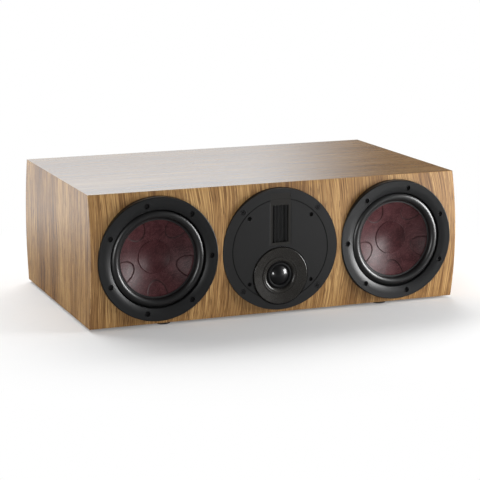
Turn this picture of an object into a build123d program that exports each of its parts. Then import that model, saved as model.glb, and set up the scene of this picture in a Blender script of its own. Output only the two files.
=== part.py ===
from build123d import *
import math
import os

os.makedirs("parts", exist_ok=True)

# Drivers and the cabinet wrapped around them
RING_DIAMETER = 186.0
RING_GAP = 7.5
SIDE_MARGIN = 10.5
TOP_MARGIN = 7.0
EDGE_DEPTH = 350.0
BULGE = 13.0
WALL = 18.0
BAFFLE_THICKNESS = 25.0
REAR_THICKNESS = 22.0
EDGE_ROUND = 0.8
FOOT_HEIGHT = 4.0
FOOT_DIAMETER = 22.0
BRACE_THICKNESS = 15.0
BRACE_FRAME = 26.0
WADDING_THICKNESS = 20.0
WADDING_MARGIN = 10.0
WADDING_SET = 65.0
WADDING_REAR = 25.0
WADDING_CORNER = 25.0

# Clearances
RING_CLEARANCE = 0.4
SCREW_CLEARANCE = 0.3
THREAD_CLEARANCE = 0.05
SLIDE_CLEARANCE = 0.4
TURN_CLEARANCE = 0.08
INSERT_CLEARANCE = 0.5
BODY_GAP = 0.3

# How each driver sits in its pocket
RING_PROUD = 2.0
POCKET_REBATE = 2.2
GASKET_THICKNESS = 1.5
FRAME_FLANGE = 5.0
CUTOUT_MARGIN = 17.0

# Trim ring and its screws
RING_WIDTH = 19.0
RING_SWEEP = 10.0
RING_DISH = 1.8
RING_EDGE = 0.4
RING_BEVEL = 1.2
WOOFER_SCREWS = 7
WOOFER_SCREW_INSET = 10.5
SCREW_HEAD_DIAMETER = 7.0
SCREW_HEAD_HEIGHT = 4.0
SCREW_DIAMETER = 4.0
SCREW_SOCKET = 3.0
SCREW_SUNK = 2.5
SCREW_GRIP = 9.0

# Woofer moving parts
ROLL_GAP = 0.6
ROLL_WIDTH = 13.4
ROLL_LIP = 5.6
ROLL_THICKNESS = 1.0
CONE_LIP = 3.7
CONE_THICKNESS = 1.2
CONE_DEPTH = 13.0
CONE_BOWL = 1.4
LOBE_COUNT = 5
LOBE_DEPTH = 0.5
LOBE_MARGIN = 8.8
LOBE_SET = 2.0
LOBE_HALF_WIDTH = 16.5
LOBE_TURN = 55.0
CAP_RADIUS = 25.5
CAP_DISH = 2.4
CAP_LIP = 0.9
CAP_GLUE = 0.05
CAP_THICKNESS = 0.6
COIL_RADIUS = 18.6
FORMER_THICKNESS = 0.4
WINDING_THICKNESS = 0.9
WINDING_LENGTH = 16.0
SPIDER_SET = 16.0
SPIDER_WAVES = 4
SPIDER_WAVE = 1.4
SPIDER_THICKNESS = 0.8

# Woofer frame and motor
BASKET_LEDGE = 1.4
BASKET_DEPTH = 43.0
BASKET_WALL = 4.0
BASKET_FLOOR = 4.0
BASKET_TAPER = 18.0
BASKET_SPOKES = 6
SPOKE_WIDTH = 15.0
TOP_PLATE_THICKNESS = 8.0
TOP_PLATE_RADIUS = 48.0
MAGNET_RADIUS = 52.0
MAGNET_THICKNESS = 20.0
YOKE_THICKNESS = 8.0
VENT_RADIUS = 6.0

# Tweeter plate
PLATE_RING = 15.2
PLATE_STEP = 1.2
PLATE_GROOVE = 1.2
PLATE_THICKNESS = 4.8
SKIRT_WIDTH = 6.0
PLATE_SCREW_INSET = 7.5
BOSS_RADIUS = 6.0
MODULE_SCREW_INSET = 3.5
MODULE_HOLE_RADIUS = 3.2
MODULE_SCREW_DIAMETER = 3.0
MODULE_HEAD_HEIGHT = 2.6
MODULE_BOSS = 4.0

# Ribbon and its shallow horn
SLOT_WIDTH = 25.8
SLOT_HEIGHT = 57.0
MOUTH_MARGIN = 7.0
HORN_SIDE = 3.6
HORN_FOOT = 4.0
HORN_RAMP = 18.5
HORN_DEPTH = 2.6
FLARE_WIDTH = 6.5
FLARE_DEPTH = 1.0
STACK_MARGIN = 4.6
GRID_BARS = 3
GRID_THICKNESS = 2.0
FILM_FRAME = 1.6
FILM_THICKNESS = 0.25
RIBBON_MAGNET_HEIGHT = 5.0
RIBBON_YOKE_FLOOR = 3.0
RIBBON_CAVITY = 6.4

# Dome and its waveguide
GUIDE_GAP = 3.6
GUIDE_GROOVE = 1.2
GUIDE_OVERLAP = 6.5
GUIDE_SUNK = 0.4
GUIDE_ROUND = 1.2
GUIDE_DISH = 2.4
GUIDE_LIP_RADIUS = 28.4
GUIDE_THROAT_RADIUS = 21.2
GUIDE_THROAT_DEPTH = 3.0
CARRIER_THICKNESS = 4.0
CARRIER_CLEARANCE = 1.5
DOME_RADIUS = 15.2
DOME_HEIGHT = 6.2
DOME_ROLL = 4.4
DOME_LIP = 5.4
DOME_SKIN = 0.5
DOME_COIL_LENGTH = 6.0
DOME_TOP_PLATE = 4.0
DOME_MOTOR_CLEARANCE = 2.3
DOME_MAGNET_THICKNESS = 12.0
DOME_YOKE_THICKNESS = 5.0

# Reflex ports
PORT_OFFSET = 190.0
PORT_RADIUS = 27.0
PORT_WALL = 3.0
PORT_FLARE = 10.0
PORT_FLANGE = 3.0
PORT_SEAT = 6.0
PORT_PROUD = 1.0
PORT_LENGTH = 120.0

# Terminal cup and binding posts
CUP_WIDTH = 78.0
CUP_HEIGHT = 46.0
CUP_DEPTH = 34.0
CUP_WALL = 3.0
CUP_FLOOR = 4.0
CUP_RIM = 11.0
CUP_SEAT = 4.0
CUP_CORNER = 8.0
CUP_SCREW_DIAMETER = 3.0
CUP_SCREW_HEAD = 6.0
CUP_SCREW_LENGTH = 14.0
POST_SPACING = 38.0
POST_RADIUS = 4.0
POST_BORE_RADIUS = 2.05
POST_BORE_DEPTH = 16.0
POST_COLLAR_RADIUS = 8.0
POST_COLLAR = 4.0
POST_TAIL_RADIUS = 3.0
WIRE_HOLE_RADIUS = 1.6
WASHER_THICKNESS = 1.2
WASHER_RADIUS = 7.0
KNOB_RADIUS = 8.5
KNOB_LENGTH = 22.0
KNOB_GROOVES = 12
NUT_THICKNESS = 4.0
NUT_ACROSS = 10.0

# Crossover on the cabinet floor
BOARD_WIDTH = 140.0
BOARD_DEPTH = 110.0
BOARD_THICKNESS = 1.6
BOARD_SET = 150.0
SPACER_HEIGHT = 6.0
SPACER_RADIUS = 4.0
AIR_COIL_RADIUS = 24.0
AIR_COIL_HEIGHT = 22.0
CAPACITOR_RADIUS = 11.0
CAPACITOR_LENGTH = 42.0
RESISTOR_LENGTH = 40.0
RESISTOR_SIDE = 10.0

# Positions worked out from the sizes above
ring_radius = RING_DIAMETER / 2
ring_bore = ring_radius - RING_WIDTH
pitch = RING_DIAMETER + RING_GAP
width = 2 * pitch + RING_DIAMETER + 2 * SIDE_MARGIN
height = RING_DIAMETER + 2 * TOP_MARGIN
depth = EDGE_DEPTH + 2 * BULGE
through = depth
bow_radius = ((height / 2) ** 2 + BULGE**2) / (2 * BULGE)
front_y = -(depth + PORT_PROUD - RING_PROUD) / 2
rear_y = front_y + depth
middle_z = FOOT_HEIGHT + height / 2
inside_front_y = front_y + BAFFLE_THICKNESS
inside_rear_y = rear_y - REAR_THICKNESS
inside_floor_z = FOOT_HEIGHT + WALL
inside_top_z = FOOT_HEIGHT + height - WALL
pocket_radius = ring_radius + RING_CLEARANCE
pocket_depth = bow_radius - math.sqrt(bow_radius**2 - pocket_radius**2) + POCKET_REBATE
cutout_radius = ring_radius - CUTOUT_MARGIN
flange_back = pocket_depth - GASKET_THICKNESS
flange_front = flange_back - FRAME_FLANGE
woofer_screw_radius = ring_radius - WOOFER_SCREW_INSET
plate_screw_radius = ring_radius - PLATE_SCREW_INSET
screw_seat = SCREW_SUNK - RING_PROUD + SCREW_HEAD_HEIGHT
screw_hole = SCREW_DIAMETER / 2 + SCREW_CLEARANCE
head_hole = SCREW_HEAD_DIAMETER / 2 + SCREW_CLEARANCE + 0.2
LEFT = -pitch
RIGHT = pitch


def outline(*steps):
    """Face inside a closed line; a step is a point, or an arc as (middle, end)."""
    edges = []
    here = steps[0]
    for step in steps[1:] + steps[:1]:
        if isinstance(step[0], tuple):
            edges.append(ThreePointArc(here, step[0], step[1]))
            here = step[1]
        else:
            if math.dist(here, step) > 1e-6:
                edges.append(Line(here, step))
            here = step
    return make_face(edges)


def turned(*steps):
    """Solid turned about the Y axis from (radius, depth) steps."""
    return revolve(outline(*steps), Axis.Y)


def at_front(part, x=0.0, z=0.0):
    """Place a piece made in depth behind the crest of the front face."""
    return Pos(x, front_y, middle_z + z) * part


def at_rear(part, x=0.0, z=0.0):
    """Place a piece made in depth ahead of the crest of the rear face."""
    return Pos(x, rear_y, middle_z + z) * Rot(0, 0, 180) * part


def rod(radius, start, end, x=0.0, z=0.0):
    """Cylinder along Y between two depths."""
    return Pos(x, (start + end) / 2, z) * Rot(90, 0, 0) * Cylinder(radius, end - start)


def slab(x_size, z_size, start, end, x=0.0, z=0.0):
    """Block along Y between two depths."""
    return Pos(x, (start + end) / 2, z) * Box(x_size, end - start, z_size)


def ring_spots(count, radius, first):
    """Centres spaced evenly on a circle around the Y axis."""
    spots = []
    for number in range(count):
        angle = math.radians(first + 360 * number / count)
        spots.append((radius * math.cos(angle), radius * math.sin(angle)))
    return spots


def arc_middle(start, end, sag):
    """Middle point of an arc that leaves its chord by the sag, towards the front."""
    length = math.dist(start, end)
    across = ((end[1] - start[1]) / length, -(end[0] - start[0]) / length)
    if across[1] > 0:
        across = (-across[0], -across[1])
    middle = ((start[0] + end[0]) / 2, (start[1] + end[1]) / 2)
    return (middle[0] + across[0] * sag, middle[1] + across[1] * sag)


def arc_depth(start, middle, end, radius):
    """Depth at a radius on the arc through three points."""
    ax, ay = start
    bx, by = middle
    cx, cy = end
    scale = 2 * (ax * (by - cy) + bx * (cy - ay) + cx * (ay - by))
    a2 = ax * ax + ay * ay
    b2 = bx * bx + by * by
    c2 = cx * cx + cy * cy
    ux = (a2 * (by - cy) + b2 * (cy - ay) + c2 * (ay - by)) / scale
    uy = (a2 * (cx - bx) + b2 * (ax - cx) + c2 * (bx - ax)) / scale
    reach = math.dist((ux, uy), start)
    side = 1 if middle[1] > uy else -1
    return uy + side * math.sqrt(reach**2 - (radius - ux) ** 2)


def save(part, name):
    """Write one node."""
    export_step(part, "parts/" + name + ".step")


def save_group(parts, name):
    """Write one node that holds several separate solids."""
    export_step(Compound(children=list(parts)), "parts/" + name + ".step")


# Driver screws, alike on all three drivers
woofer_first = {LEFT: 0.0, RIGHT: 180.0}
screw_spots = []
for side in (LEFT, RIGHT):
    for x, z in ring_spots(WOOFER_SCREWS, woofer_screw_radius, woofer_first[side]):
        screw_spots.append((side, x, z))
for x, z in ring_spots(4, plate_screw_radius, 45):
    screw_spots.append((0.0, x, z))
screw_end = pocket_depth + SCREW_GRIP
screw_top = screw_seat - SCREW_HEAD_HEIGHT
head = rod(SCREW_HEAD_DIAMETER / 2, screw_top, screw_seat)
head = fillet(head.edges().group_by(Axis.Y)[0], 0.5)
shank = rod(SCREW_DIAMETER / 2, screw_seat, screw_end)
hexagon = Plane.XZ * RegularPolygon(SCREW_SOCKET / 2, 6, major_radius=False)
socket = extrude(Pos(0, screw_top, 0) * hexagon, amount=-SCREW_HEAD_HEIGHT / 2)
driver_screw = head + shank - socket
save_group([at_front(driver_screw, side + x, z) for side, x, z in screw_spots], "driver_screws")

# Cabinet block with bowed front and rear faces
half_edge = EDGE_DEPTH / 2
centre_y = (front_y + rear_y) / 2
section = outline(
    (-half_edge, -height / 2),
    (half_edge, -height / 2),
    ((half_edge + BULGE, 0.0), (half_edge, height / 2)),
    (-half_edge, height / 2),
    ((-half_edge - BULGE, 0.0), (-half_edge, -height / 2)),
)
block = extrude(Plane.YZ * section, amount=width / 2, both=True)
block = fillet(block.edges(), EDGE_ROUND)
block = Pos(0, centre_y, middle_z) * block


def between(start_y, end_y):
    """Block that spans the whole cabinet section between two planes."""
    return Pos(0, (start_y + end_y) / 2, middle_z) * Box(2 * width, end_y - start_y, 2 * height)


def mitred(*corners):
    """Prism along Y with the given corners in X and Z, between baffle and rear panel."""
    face = Plane.XZ * make_face(Polyline(*corners, close=True))
    prism = extrude(face, amount=-(inside_rear_y - inside_front_y))
    return Pos(0, inside_front_y, middle_z) * prism


# Front baffle with a flat-floored pocket for each driver
baffle = block & between(front_y - 1, inside_front_y)
for side in (LEFT, 0.0, RIGHT):
    baffle -= at_front(rod(pocket_radius, -5, pocket_depth), side)
    baffle -= at_front(rod(cutout_radius, 0, BAFFLE_THICKNESS + 1), side)
for side, x, z in screw_spots:
    pilot = rod(SCREW_DIAMETER / 2 + THREAD_CLEARANCE, pocket_depth - 1, screw_end + 0.5)
    baffle -= at_front(pilot, side + x, z)
save(baffle, "front_baffle")

# Mitred top, bottom and side panels
outer_x = width / 2
outer_z = height / 2
inner_x = outer_x - WALL
inner_z = outer_z - WALL
top = mitred((-outer_x, outer_z), (outer_x, outer_z), (inner_x, inner_z), (-inner_x, inner_z))
save(block & top, "top_panel")
bottom = mitred((-outer_x, -outer_z), (outer_x, -outer_z), (inner_x, -inner_z), (-inner_x, -inner_z))
save(block & bottom, "bottom_panel")
left = mitred((-outer_x, outer_z), (-outer_x, -outer_z), (-inner_x, -inner_z), (-inner_x, inner_z))
save(block & left, "left_side_panel")
right = mitred((outer_x, outer_z), (outer_x, -outer_z), (inner_x, -inner_z), (inner_x, inner_z))
save(block & right, "right_side_panel")

# Rear panel with seats for the ports and the terminal cup
port_outer = PORT_RADIUS + PORT_WALL
port_flange = PORT_RADIUS + PORT_FLARE + PORT_FLANGE
cup_out_x = CUP_WIDTH + 2 * CUP_WALL
cup_out_z = CUP_HEIGHT + 2 * CUP_WALL
rim_x = cup_out_x + 2 * CUP_RIM
rim_z = cup_out_z + 2 * CUP_RIM
cup_spots = []
for x_sign in (-1, 1):
    for z_sign in (-1, 1):
        cup_spots.append((x_sign * (rim_x - CUP_RIM) / 2, z_sign * (rim_z - CUP_RIM) / 2))


def rounded_slab(x_size, z_size, corner, start, end):
    """Block along Y with rounded corners."""
    face = Plane.XZ * RectangleRounded(x_size, z_size, corner)
    return Pos(0, start, 0) * extrude(face, amount=-(end - start))


rear = block & between(inside_rear_y, rear_y + 1)
for x in (-PORT_OFFSET, PORT_OFFSET):
    rear -= at_rear(rod(port_flange + RING_CLEARANCE, -5, PORT_SEAT), x)
    rear -= at_rear(rod(port_outer + RING_CLEARANCE, 0, REAR_THICKNESS + 1), x)
seat_x = rim_x + 2 * RING_CLEARANCE
seat_z = rim_z + 2 * RING_CLEARANCE
rear -= at_rear(rounded_slab(seat_x, seat_z, CUP_CORNER, -5, CUP_SEAT))
hole_x = cup_out_x + 2 * INSERT_CLEARANCE
hole_z = cup_out_z + 2 * INSERT_CLEARANCE
rear -= at_rear(rounded_slab(hole_x, hole_z, CUP_CORNER, 0, REAR_THICKNESS + 1))
for x, z in cup_spots:
    pilot_end = CUP_SCREW_LENGTH + 0.5
    rear -= at_rear(rod(CUP_SCREW_DIAMETER / 2 + THREAD_CLEARANCE, 0, pilot_end), x, z)
save(rear, "rear_panel")

# Window braces between the drivers
inside_depth = inside_rear_y - inside_front_y
inside_height = inside_top_z - inside_floor_z
window = RectangleRounded(inside_depth - 2 * BRACE_FRAME, inside_height - 2 * BRACE_FRAME, 30)
brace_face = Plane.YZ * (Rectangle(inside_depth, inside_height) - window)
brace = extrude(brace_face, amount=BRACE_THICKNESS / 2, both=True)
brace_y = (inside_front_y + inside_rear_y) / 2
brace_x = pitch / 2
save_group([Pos(x, brace_y, middle_z) * brace for x in (-brace_x, brace_x)], "braces")

# Wadding against the inside of the side panels
wad_low = inside_front_y + WADDING_SET
wad_high = inside_rear_y - WADDING_REAR
wad = Box(WADDING_THICKNESS, wad_high - wad_low, inside_height - 2 * WADDING_MARGIN)
wad = fillet(wad.edges().filter_by(Axis.X), WADDING_CORNER)
wad_x = inner_x - WADDING_THICKNESS / 2
save_group([Pos(x, (wad_low + wad_high) / 2, middle_z) * wad for x in (-wad_x, wad_x)], "wadding")

# Rubber feet
foot = Pos(0, 0, FOOT_HEIGHT / 2) * Cylinder(FOOT_DIAMETER / 2, FOOT_HEIGHT)
foot = fillet(foot.edges().group_by(Axis.Z)[0], 1.0)
foot_x = 0.3 * width
feet = []
for x in (-foot_x, foot_x):
    for y in (front_y + BULGE + 16, rear_y - BULGE - 16):
        feet.append(Pos(x, y, 0) * foot)
save_group(feet, "feet")

# Gaskets under the three drivers
gaskets = []
for side in (LEFT, 0.0, RIGHT):
    gasket = rod(ring_radius - 1, flange_back, pocket_depth)
    gasket -= rod(cutout_radius + 1, flange_back - 1, pocket_depth + 1)
    for spot_side, x, z in screw_spots:
        if spot_side == side:
            gasket -= rod(screw_hole, flange_back - 1, pocket_depth + 1, x, z)
    gaskets.append(at_front(gasket, side))
save_group(gaskets, "driver_gaskets")

# Woofer profiles, shared by both sides
roll_out = ring_bore - ROLL_GAP
roll_in = roll_out - ROLL_WIDTH
roll_middle = (roll_out + roll_in) / 2
roll_outer = ROLL_WIDTH / 2
roll_inner = roll_outer - ROLL_THICKNESS
lip_back = flange_front + ROLL_THICKNESS
lip_edge = roll_out + ROLL_LIP
cone_edge = roll_in + ROLL_THICKNESS
cone_lip = cone_edge - CONE_LIP
former_out = COIL_RADIUS + FORMER_THICKNESS
winding_out = former_out + WINDING_THICKNESS
neck_radius = former_out + 0.2
neck = lip_back + CONE_DEPTH
basket_back = flange_front + BASKET_DEPTH
spider_back = neck + SPIDER_SET
pole_radius = COIL_RADIUS - SLIDE_CLEARANCE
gap_radius = winding_out + SLIDE_CLEARANCE
plate_back = basket_back + TOP_PLATE_THICKNESS
magnet_back = plate_back + MAGNET_THICKNESS
yoke_back = magnet_back + YOKE_THICKNESS
gap_middle = (basket_back + plate_back) / 2
basket_bore = roll_out - BASKET_LEDGE
basket_start = cutout_radius - 0.8
basket_rear = cutout_radius - BASKET_TAPER
ledge_radius = basket_rear - BASKET_WALL
ledge_bore = ledge_radius - 8

ring_inner = RING_DISH - RING_PROUD
ring_edge = (ring_bore + RING_EDGE, ring_inner)
ring_face = (ring_bore + RING_EDGE + RING_SWEEP, -RING_PROUD)
sweep_bow = (RING_SWEEP**2 + RING_DISH**2) / (2 * RING_DISH)
sweep_sag = sweep_bow - math.sqrt(sweep_bow**2 - (RING_SWEEP**2 + RING_DISH**2) / 4)
trim_ring = turned(
    (ring_bore, flange_front),
    (ring_bore, ring_inner + RING_EDGE),
    ring_edge,
    (arc_middle(ring_edge, ring_face, sweep_sag), ring_face),
    (ring_radius - RING_BEVEL, -RING_PROUD),
    (ring_radius, RING_BEVEL - RING_PROUD),
    (ring_radius, flange_front),
)

surround = turned(
    (lip_edge, flange_front),
    (roll_out, flange_front),
    ((roll_middle, flange_front - roll_outer), (roll_in, flange_front)),
    (cone_lip + 0.3, flange_front),
    (cone_lip + 0.3, lip_back),
    (cone_edge, lip_back),
    (cone_edge, flange_front),
    ((roll_middle, flange_front - roll_inner), (roll_out - ROLL_THICKNESS, flange_front)),
    (roll_out - ROLL_THICKNESS, lip_back),
    (lip_edge, lip_back),
)

frame = turned(
    (ring_radius - 0.5, flange_front),
    (lip_edge + 0.3, flange_front),
    (lip_edge + 0.3, lip_back),
    (basket_bore, lip_back),
    (basket_bore, flange_back),
    (ledge_radius, spider_back),
    (ledge_bore, spider_back),
    (ledge_bore, basket_back - BASKET_FLOOR),
    (gap_radius + 4, basket_back - BASKET_FLOOR),
    (gap_radius + 4, basket_back),
    (basket_rear, basket_back),
    (basket_rear, spider_back + 5),
    (basket_start, flange_back + 2),
    (basket_start, flange_back),
    (ring_radius - 0.5, flange_back),
)
window_start = flange_back + 5
window_end = spider_back - 2
window_width = 2 * math.pi * (basket_rear + 2) / BASKET_SPOKES - SPOKE_WIDTH
for spoke in range(BASKET_SPOKES):
    opening = slab(ring_radius, window_width, window_start, window_end, ledge_bore + ring_radius / 2)
    opening = fillet(opening.edges().filter_by(Axis.X), 5)
    frame -= Rot(0, 30 + 360 * spoke / BASKET_SPOKES, 0) * opening

cone_start = (cone_lip, lip_back)
cone_end = (neck_radius, neck)
cone_bend = arc_middle(cone_start, cone_end, -CONE_BOWL)


def cone_layer(front, back):
    """Shell between two depths behind the front face of the cone."""
    return turned(
        (cone_edge, lip_back + front),
        (cone_start[0], cone_start[1] + front),
        ((cone_bend[0], cone_bend[1] + front), (cone_end[0], cone_end[1] + front)),
        (cone_end[0], cone_end[1] + back),
        ((cone_bend[0], cone_bend[1] + back), (cone_start[0], cone_start[1] + back)),
        (cone_edge, lip_back + back),
    )


lobe_centre = cone_lip + LOBE_SET
lobe_reach = lobe_centre - CAP_RADIUS - LOBE_MARGIN
cone = cone_layer(0, CONE_THICKNESS)
skin = cone_layer(-1, LOBE_DEPTH) - rod(cone_edge + 1, -50, lip_back + 0.2)
lobe_face = Plane.XZ * (Pos(lobe_centre, 0) * Ellipse(lobe_reach, LOBE_HALF_WIDTH))
lobe_prism = Pos(0, -20, 0) * extrude(lobe_face, amount=-80)
for lobe in range(LOBE_COUNT):
    petal = Rot(0, -LOBE_TURN - 360 * lobe / LOBE_COUNT, 0) * lobe_prism
    petal -= turned((cone_lip, -20), (cone_edge + 40, -20), (cone_edge + 40, 60), (cone_lip, 60))
    cone -= skin & petal

cap_edge = arc_depth(cone_start, cone_bend, cone_end, CAP_RADIUS) - CAP_GLUE
cap_foot = CAP_RADIUS - 1.0
cap_front = cap_edge - CAP_LIP
cap_middle = cap_edge + CAP_DISH
cap_drop = cap_middle - cap_front
cap_bow = (CAP_RADIUS**2 + cap_drop**2) / (2 * cap_drop)


def cap_point(radius, behind):
    """Point on the dished cap at a radius, some way behind its front."""
    return (radius, cap_middle - cap_bow + math.sqrt(cap_bow**2 - radius**2) + behind)


dust_cap = turned(
    cap_point(0.0, 0.0),
    (cap_point(CAP_RADIUS / 2, 0.0), cap_point(CAP_RADIUS, 0.0)),
    (CAP_RADIUS, cap_edge),
    (cap_foot, arc_depth(cone_start, cone_bend, cone_end, cap_foot) - CAP_GLUE),
    cap_point(cap_foot, CAP_THICKNESS),
    (cap_point(cap_foot / 2, CAP_THICKNESS), cap_point(0.0, CAP_THICKNESS)),
)

voice_coil = rod(former_out, neck, gap_middle + WINDING_LENGTH / 2 + 2)
voice_coil += rod(winding_out, gap_middle - WINDING_LENGTH / 2, gap_middle + WINDING_LENGTH / 2)
voice_coil -= rod(COIL_RADIUS, 0, yoke_back)

spider_in = former_out + BODY_GAP
spider_start = spider_in + 3
spider_end = ledge_bore - 1
wave_step = (spider_end - spider_start) / (2 * SPIDER_WAVES)
spider_front = spider_back - SPIDER_THICKNESS
wave_front = [(spider_in, spider_front), (spider_start, spider_front)]
wave_rear = []
for wave in range(2 * SPIDER_WAVES):
    crest = SPIDER_WAVE if wave % 2 else -SPIDER_WAVE
    near = spider_start + wave * wave_step
    middle = near + wave_step / 2
    wave_front.append(((middle, spider_front + crest), (near + wave_step, spider_front)))
    wave_rear.insert(0, ((middle, spider_back + crest), (near, spider_back)))
spider_lip = ledge_radius - BODY_GAP - 0.7
spider = turned(
    *wave_front,
    (spider_lip, spider_front),
    (spider_lip, spider_back),
    (spider_end, spider_back),
    *wave_rear,
    (spider_in, spider_back),
)

top_plate = rod(TOP_PLATE_RADIUS, basket_back, plate_back) - rod(gap_radius, 0, yoke_back)
magnet = rod(MAGNET_RADIUS, plate_back, magnet_back) - rod(gap_radius + 6, 0, yoke_back)
magnet = chamfer(magnet.edges(), 1.0)
yoke = rod(TOP_PLATE_RADIUS, magnet_back, yoke_back) + rod(pole_radius, basket_back, magnet_back)
yoke -= rod(VENT_RADIUS, 0, yoke_back + 1)

for side, name in ((LEFT, "left_woofer_"), (RIGHT, "right_woofer_")):
    drilled_ring = trim_ring
    drilled_frame = frame
    for x, z in ring_spots(WOOFER_SCREWS, woofer_screw_radius, woofer_first[side]):
        drilled_ring = drilled_ring - rod(head_hole, -10, screw_seat, x, z)
        drilled_ring = drilled_ring - rod(screw_hole, 0, through, x, z)
        drilled_frame = drilled_frame - rod(screw_hole, 0, through, x, z)
    save(at_front(drilled_ring, side), name + "trim_ring")
    save(at_front(drilled_frame, side), name + "frame")
    save(at_front(surround, side), name + "surround")
    save(at_front(cone, side), name + "cone")
    save(at_front(dust_cap, side), name + "dust_cap")
    save(at_front(voice_coil, side), name + "voice_coil")
    save(at_front(spider, side), name + "spider")
    save(at_front(top_plate, side), name + "top_plate")
    save(at_front(magnet, side), name + "magnet")
    save(at_front(yoke, side), name + "yoke")

# Tweeter plate with a skirt that stands on its gasket
plate_front = PLATE_STEP - RING_PROUD
plate_rear = plate_front + PLATE_THICKNESS
plate_inner = ring_radius - PLATE_RING
mouth_high = ring_radius - MOUTH_MARGIN
slot_high = mouth_high - HORN_RAMP
slot_low = slot_high - SLOT_HEIGHT
slot_rise = (slot_low + slot_high) / 2
mouth_low = slot_low - HORN_FOOT
guide_top = mouth_low - GUIDE_GAP
guide_bottom = -plate_inner - GUIDE_OVERLAP
guide_radius = (guide_top - guide_bottom) / 2
dome_drop = -(guide_top + guide_bottom) / 2
dome_magnet_radius = cutout_radius - dome_drop - DOME_MOTOR_CLEARANCE
carrier_radius = cutout_radius - CARRIER_CLEARANCE
boss_end = plate_rear + MODULE_BOSS
module_spots = ring_spots(4, carrier_radius - MODULE_SCREW_INSET, 45)
plate = turned(
    (0.0, plate_front),
    (plate_inner - PLATE_GROOVE, plate_front),
    (plate_inner - PLATE_GROOVE, plate_front + PLATE_GROOVE),
    (plate_inner, plate_front + PLATE_GROOVE),
    (plate_inner, -RING_PROUD),
    (ring_radius - RING_BEVEL, -RING_PROUD),
    (ring_radius, RING_BEVEL - RING_PROUD),
    (ring_radius, flange_back),
    (ring_radius - SKIRT_WIDTH, flange_back),
    (ring_radius - SKIRT_WIDTH, plate_rear),
    (0.0, plate_rear),
)
for x, z in ring_spots(4, plate_screw_radius, 45):
    plate += rod(BOSS_RADIUS, plate_rear - 1, flange_back, x, z)
plate &= rod(ring_radius, -10, flange_back)
for x, z in module_spots:
    plate += rod(BOSS_RADIUS - 1, plate_rear - 1, boss_end, x, z)
flare_floor = plate_front + FLARE_DEPTH
throat = flare_floor + HORN_DEPTH
mouth_half = SLOT_WIDTH / 2 + HORN_SIDE
flare_half = mouth_half + FLARE_WIDTH
mouth_face = Pos(0, (mouth_low + mouth_high) / 2) * Rectangle(2 * mouth_half, mouth_high - mouth_low)
throat_face = Pos(0, slot_rise) * Rectangle(SLOT_WIDTH, SLOT_HEIGHT)
horn = loft([Pos(0, flare_floor, 0) * Plane.XZ * mouth_face, Pos(0, throat, 0) * Plane.XZ * throat_face])
above = slab(2 * mouth_half, mouth_high - mouth_low, -10, flare_floor, 0, (mouth_low + mouth_high) / 2)
slot = slab(SLOT_WIDTH, SLOT_HEIGHT, 0, 20, 0, slot_rise)
flare_line = Polyline(
    (-flare_half, plate_front),
    (-mouth_half, flare_floor),
    (mouth_half, flare_floor),
    (flare_half, plate_front),
    close=True,
)
flare_high = math.sqrt((plate_inner - PLATE_GROOVE - 0.8) ** 2 - flare_half**2)
flare = Pos(0, 0, mouth_low) * extrude(make_face(flare_line), amount=flare_high - mouth_low)
plate = plate - flare - above - horn - slot
plate -= rod(guide_radius + GUIDE_GROOVE, -10, plate_rear + 1, 0, -dome_drop)
for x, z in ring_spots(4, plate_screw_radius, 45):
    plate -= rod(head_hole, -10, screw_seat, x, z)
    plate -= rod(screw_hole, 0, through, x, z)
module_seat = boss_end - 3
for x, z in module_spots:
    plate -= rod(MODULE_HOLE_RADIUS, -10, module_seat, x, z)
    plate -= rod(MODULE_SCREW_DIAMETER / 2 + SCREW_CLEARANCE, -10, through, x, z)
save(at_front(plate), "tweeter_plate")

# Waveguide disc with the carrier that holds the dome motor and the ribbon
guide_rim = GUIDE_SUNK - RING_PROUD
dish_end = guide_rim + GUIDE_DISH
lip_inner = GUIDE_LIP_RADIUS - 1.2
throat_start = lip_inner - 0.8
throat_run = throat_start - GUIDE_THROAT_RADIUS
throat_end = dish_end + GUIDE_THROAT_DEPTH
carrier_back = boss_end + CARRIER_THICKNESS
dome_seat = throat_end + 1.6
dome_lip = DOME_RADIUS + DOME_ROLL + DOME_LIP
stack_x = SLOT_WIDTH + 2 * STACK_MARGIN
stack_z = SLOT_HEIGHT + 2 * STACK_MARGIN
guide = turned(
    (guide_radius, guide_rim + GUIDE_ROUND),
    (
        (guide_radius - 0.293 * GUIDE_ROUND, guide_rim + 0.293 * GUIDE_ROUND),
        (guide_radius - GUIDE_ROUND, guide_rim),
    ),
    (GUIDE_LIP_RADIUS + 0.5, dish_end),
    (GUIDE_LIP_RADIUS, dish_end - 0.9),
    (lip_inner, dish_end - 0.9),
    (throat_start, dish_end),
    (
        (GUIDE_THROAT_RADIUS + 0.293 * throat_run, dish_end + 0.293 * GUIDE_THROAT_DEPTH),
        (GUIDE_THROAT_RADIUS, throat_end),
    ),
    (GUIDE_THROAT_RADIUS, carrier_back),
    (guide_radius, carrier_back),
)
carrier = rod(carrier_radius, boss_end, carrier_back)
carrier -= rod(guide_radius - 2, 0, through, 0, -dome_drop)
notch_low = slot_rise - stack_z / 2 - INSERT_CLEARANCE
notch_z = carrier_radius + 10 - notch_low
carrier -= slab(stack_x + 2 * INSERT_CLEARANCE, notch_z, 0, through, 0, notch_low + notch_z / 2)
waveguide = carrier + Pos(0, 0, -dome_drop) * guide
motor_hole = dome_magnet_radius + RING_CLEARANCE
waveguide -= rod(motor_hole, dome_seat, through, 0, -dome_drop)
waveguide -= rod(dome_lip + BODY_GAP, dome_seat - 1.2, through, 0, -dome_drop)
for x, z in module_spots:
    waveguide -= rod(MODULE_SCREW_DIAMETER / 2 + THREAD_CLEARANCE, 0, through, x, z)
save(at_front(waveguide), "tweeter_waveguide")

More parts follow.
